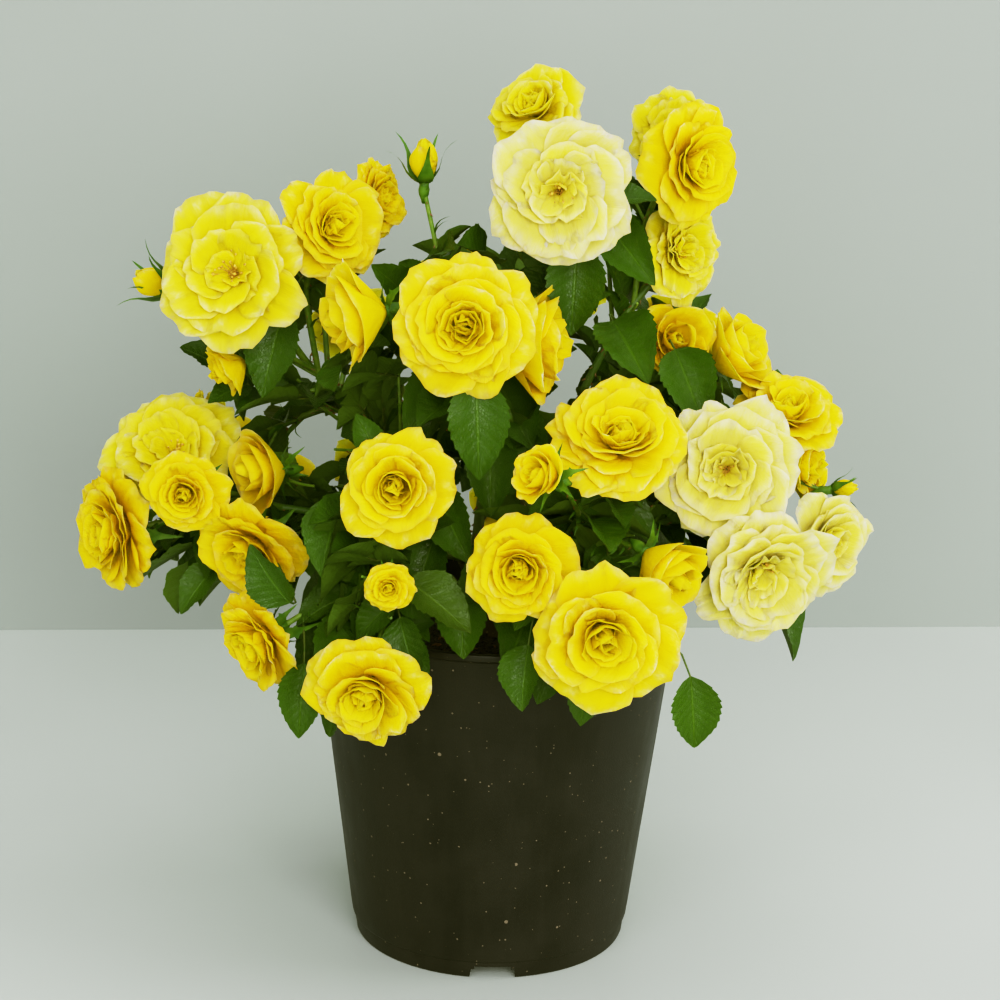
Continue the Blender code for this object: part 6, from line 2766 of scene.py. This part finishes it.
    @staticmethod
    def stamen_seats(bloom: Bloom, dice: random.Random) -> list[Seat]:
        """A tuft of stamens at the heart of an open bloom.

        Args:
            bloom: The bloom.
            dice: Where their irregularities come from.

        Returns:
            The seats, none for a bloom that is not open.
        """
        count = {FLAT: 46, RUFFLED: 34}.get(bloom.habit, 0)
        facing, foot, half = bloom.axis, bloom.foot, bloom.width / 2
        seats = []
        for _ in range(count):
            out = round_axis(facing, dice.uniform(0, 2 * math.pi))
            spread = math.radians(62 * math.sqrt(dice.random()))
            points = tipped(facing, out, spread)
            edge = across(out, points)
            long = half * dice.uniform(0.24, 0.36) * (0.8 + 0.4 * math.sin(spread))
            seats.append(Seat(foot + out * 0.0014 * math.sin(spread) + facing * half * 0.05,
                              basis(edge, points.cross(edge), points), (long,) * 3))
        return seats


@dataclass
class Studio:
    """The pale table and wall, the soft lights and the camera."""

    camera_place: Triple = (0.0009, -1.6, 0.7373)
    camera_pitch: float = math.radians(17.52)
    camera_roll: float = math.radians(1.3)
    focal_pixels: float = 3320.0
    wall_at: float = 0.455
    wall_turn: float = 0.0768

    def build(self) -> None:
        """Sets the studio up."""
        scene = bpy.context.scene
        scene.view_settings.view_transform = "Standard"
        scene.view_settings.look = "None"
        light = scene.cycles
        light.max_bounces, light.diffuse_bounces, light.glossy_bounces = 4, 2, 1
        light.use_light_tree = False
        self.film(scene.view_settings)
        far, near = self.wall_at, -6.0
        left, right = far - 1.6 * self.wall_turn, far + 1.6 * self.wall_turn
        self.sheet("table", [(-6, near, 0), (6, near, 0), (6, 6, 0), (-6, 6, 0)],
                   (0.480, 0.512, 0.476), 0.42)
        self.sheet("wall", [(-1.6, left, 0), (1.6, right, 0), (1.6, right, 1.6), (-1.6, left, 1.6)],
                   (0.300, 0.326, 0.298), 0.9)
        self.light("key_softbox", (0.6, -2.4, 1.25), (0.0, 0.0, 0.26), 1.4, 43)
        self.light("fill_softbox", (-0.9, -2.2, 1.00), (0.0, 0.0, 0.26), 1.6, 14)
        self.light("side_softbox", (1.7, -0.05, 0.70), (0.0, 0.1, 0.25), 1.0, 12)
        self.light("overhead", (0.2, 0.1, 2.4), (0.0, 0.1, 0.0), 1.8, 12)
        world = bpy.data.worlds.new("room")
        world.use_nodes = True
        sky = world.node_tree.nodes["Background"]
        sky.inputs["Color"].default_value = (0.93, 0.97, 0.95, 1)
        sky.inputs["Strength"].default_value = 0.68
        scene.world = world
        data = bpy.data.cameras.new("camera")
        data.sensor_width, data.lens = 36, self.focal_pixels * 36 / 1000
        camera = shown("camera", data)
        tilt = Matrix.Rotation(math.radians(90) - self.camera_pitch, 4, "X")
        roll = Matrix.Rotation(self.camera_roll, 4, "Z")
        camera.matrix_world = Matrix.Translation(self.camera_place) @ tilt @ roll
        scene.camera = camera
        log.info("studio: camera %.0f mm, wall at %.3f m", data.lens, self.wall_at)

    @staticmethod
    def film(settings: bpy.types.ColorManagedViewSettings) -> None:
        """Gives the picture a soft shoulder, which holds bright petals' colour, and a toe in blue.

        Args:
            settings: The scene's view settings.
        """
        settings.use_curve_mapping = True
        curves = settings.curve_mapping.curves
        shoulder = ((0.05, 0.053), (0.12, 0.150), (0.25, 0.362), (0.40, 0.555), (0.60, 0.700),
                    (0.80, 0.780), (1.0, 0.830))
        toe = ((0.012, 0.004), (0.030, 0.016), (0.080, 0.062), (0.200, 0.190), (1.0, 1.0))
        for curve, points in ((curves[3], shoulder), (curves[2], toe)):
            curve.points[-1].location = points[-1]
            for point in points[:-1]:
                curve.points.new(*point)
        settings.curve_mapping.update()

    @staticmethod
    def sheet(name: str, corners: list[Triple], colour: Triple, roughness: float) -> None:
        """One flat part of the studio.

        Args:
            name: Its name.
            corners: Its corners.
            colour: Its colour.
            roughness: Its roughness.
        """
        made = Surface(name)
        w = made.wires
        cloud = w.noise(w.object_place(), 2.6, 2.0)
        shade = tuple(0.93 * share for share in colour)
        made.set(Base_Color=w.blend(w.ramp(cloud, 0.3, 0.7), colour, shade), Roughness=roughness,
                 Specular_IOR_Level=0.3)
        if name == "wall":
            # From behind, the wall lets the eye and the light through.
            clear = w.put("ShaderNodeBsdfTransparent")
            both = w.put("ShaderNodeMixShader",
                         {0: w.put("ShaderNodeNewGeometry", out="Backfacing"),
                          1: made.shader.outputs[0], 2: clear})
            w.tree.links.new(both, w.tree.nodes["Material Output"].inputs["Surface"])
        mesh = drawn(name, corners, [(0, 1, 2, 3)])
        mesh.materials.append(made.material)
        shown(name, mesh)

    @staticmethod
    def light(name: str, place: Triple, aim: Triple, size: float, power: float) -> None:
        """A square soft light.

        Args:
            name: Its name.
            place: Where it stands.
            aim: What it points at.
            size: Its side.
            power: Its power in watts.
        """
        data = bpy.data.lights.new(name, "AREA")
        data.shape, data.size, data.energy = "SQUARE", size, power
        made = shown(name, data)
        made.location = place
        made.rotation_mode = "QUATERNION"
        made.rotation_quaternion = (Vector(aim) - Vector(place)).to_track_quat("-Z", "Y")


def main() -> None:
    """Builds the studio, the pot and the plant."""
    logging.basicConfig(level=logging.INFO, format="%(name)s: %(message)s")
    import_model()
    Studio().build()
    effects = Effects(make_specks(), make_mottle(), make_chart_place())
    bark = CaneBark().material(effects)
    green, leaf_stalk, sepal, anther, thorn = (herb.material(effects) for herb in HERBS)
    blades = {tone: LeafBlade(tone, *looks).material(effects) for tone, looks in GREENS.items()}
    skins = {tint: PetalSkin(tint, *looks).material(effects) for tint, looks in YELLOWS.items()}
    NurseryPot(POT).build(PotPlastic().material(effects))
    soil = Compost("potting_soil", (0.010, 0.007, 0.005), (0.060, 0.038, 0.022)).material(effects)
    chip = Compost("bark_chips", (0.085, 0.036, 0.014), (0.260, 0.120, 0.045)).material(effects)
    PottingSoil(POT).build(soil, chip)
    crown = Crown()
    twigs = sum(len(grown.twigs) + len(grown.fine_twigs) for grown in crown.masses)
    leaves = sum(len(grown.leaves) + len(grown.fine_leaves) for grown in crown.masses)
    log.info("grown: %d twigs, %d leaves", twigs, leaves)
    tube, spray = make_tube(), make_spray()
    Wood(crown).build(tube, spray, bark, green, thorn)
    Foliage(crown).build(spray, tube, blades, leaf_stalk)
    Blossom(crown).build(skins, sepal, anther, spray)


if __name__ == "__main__":
    main()
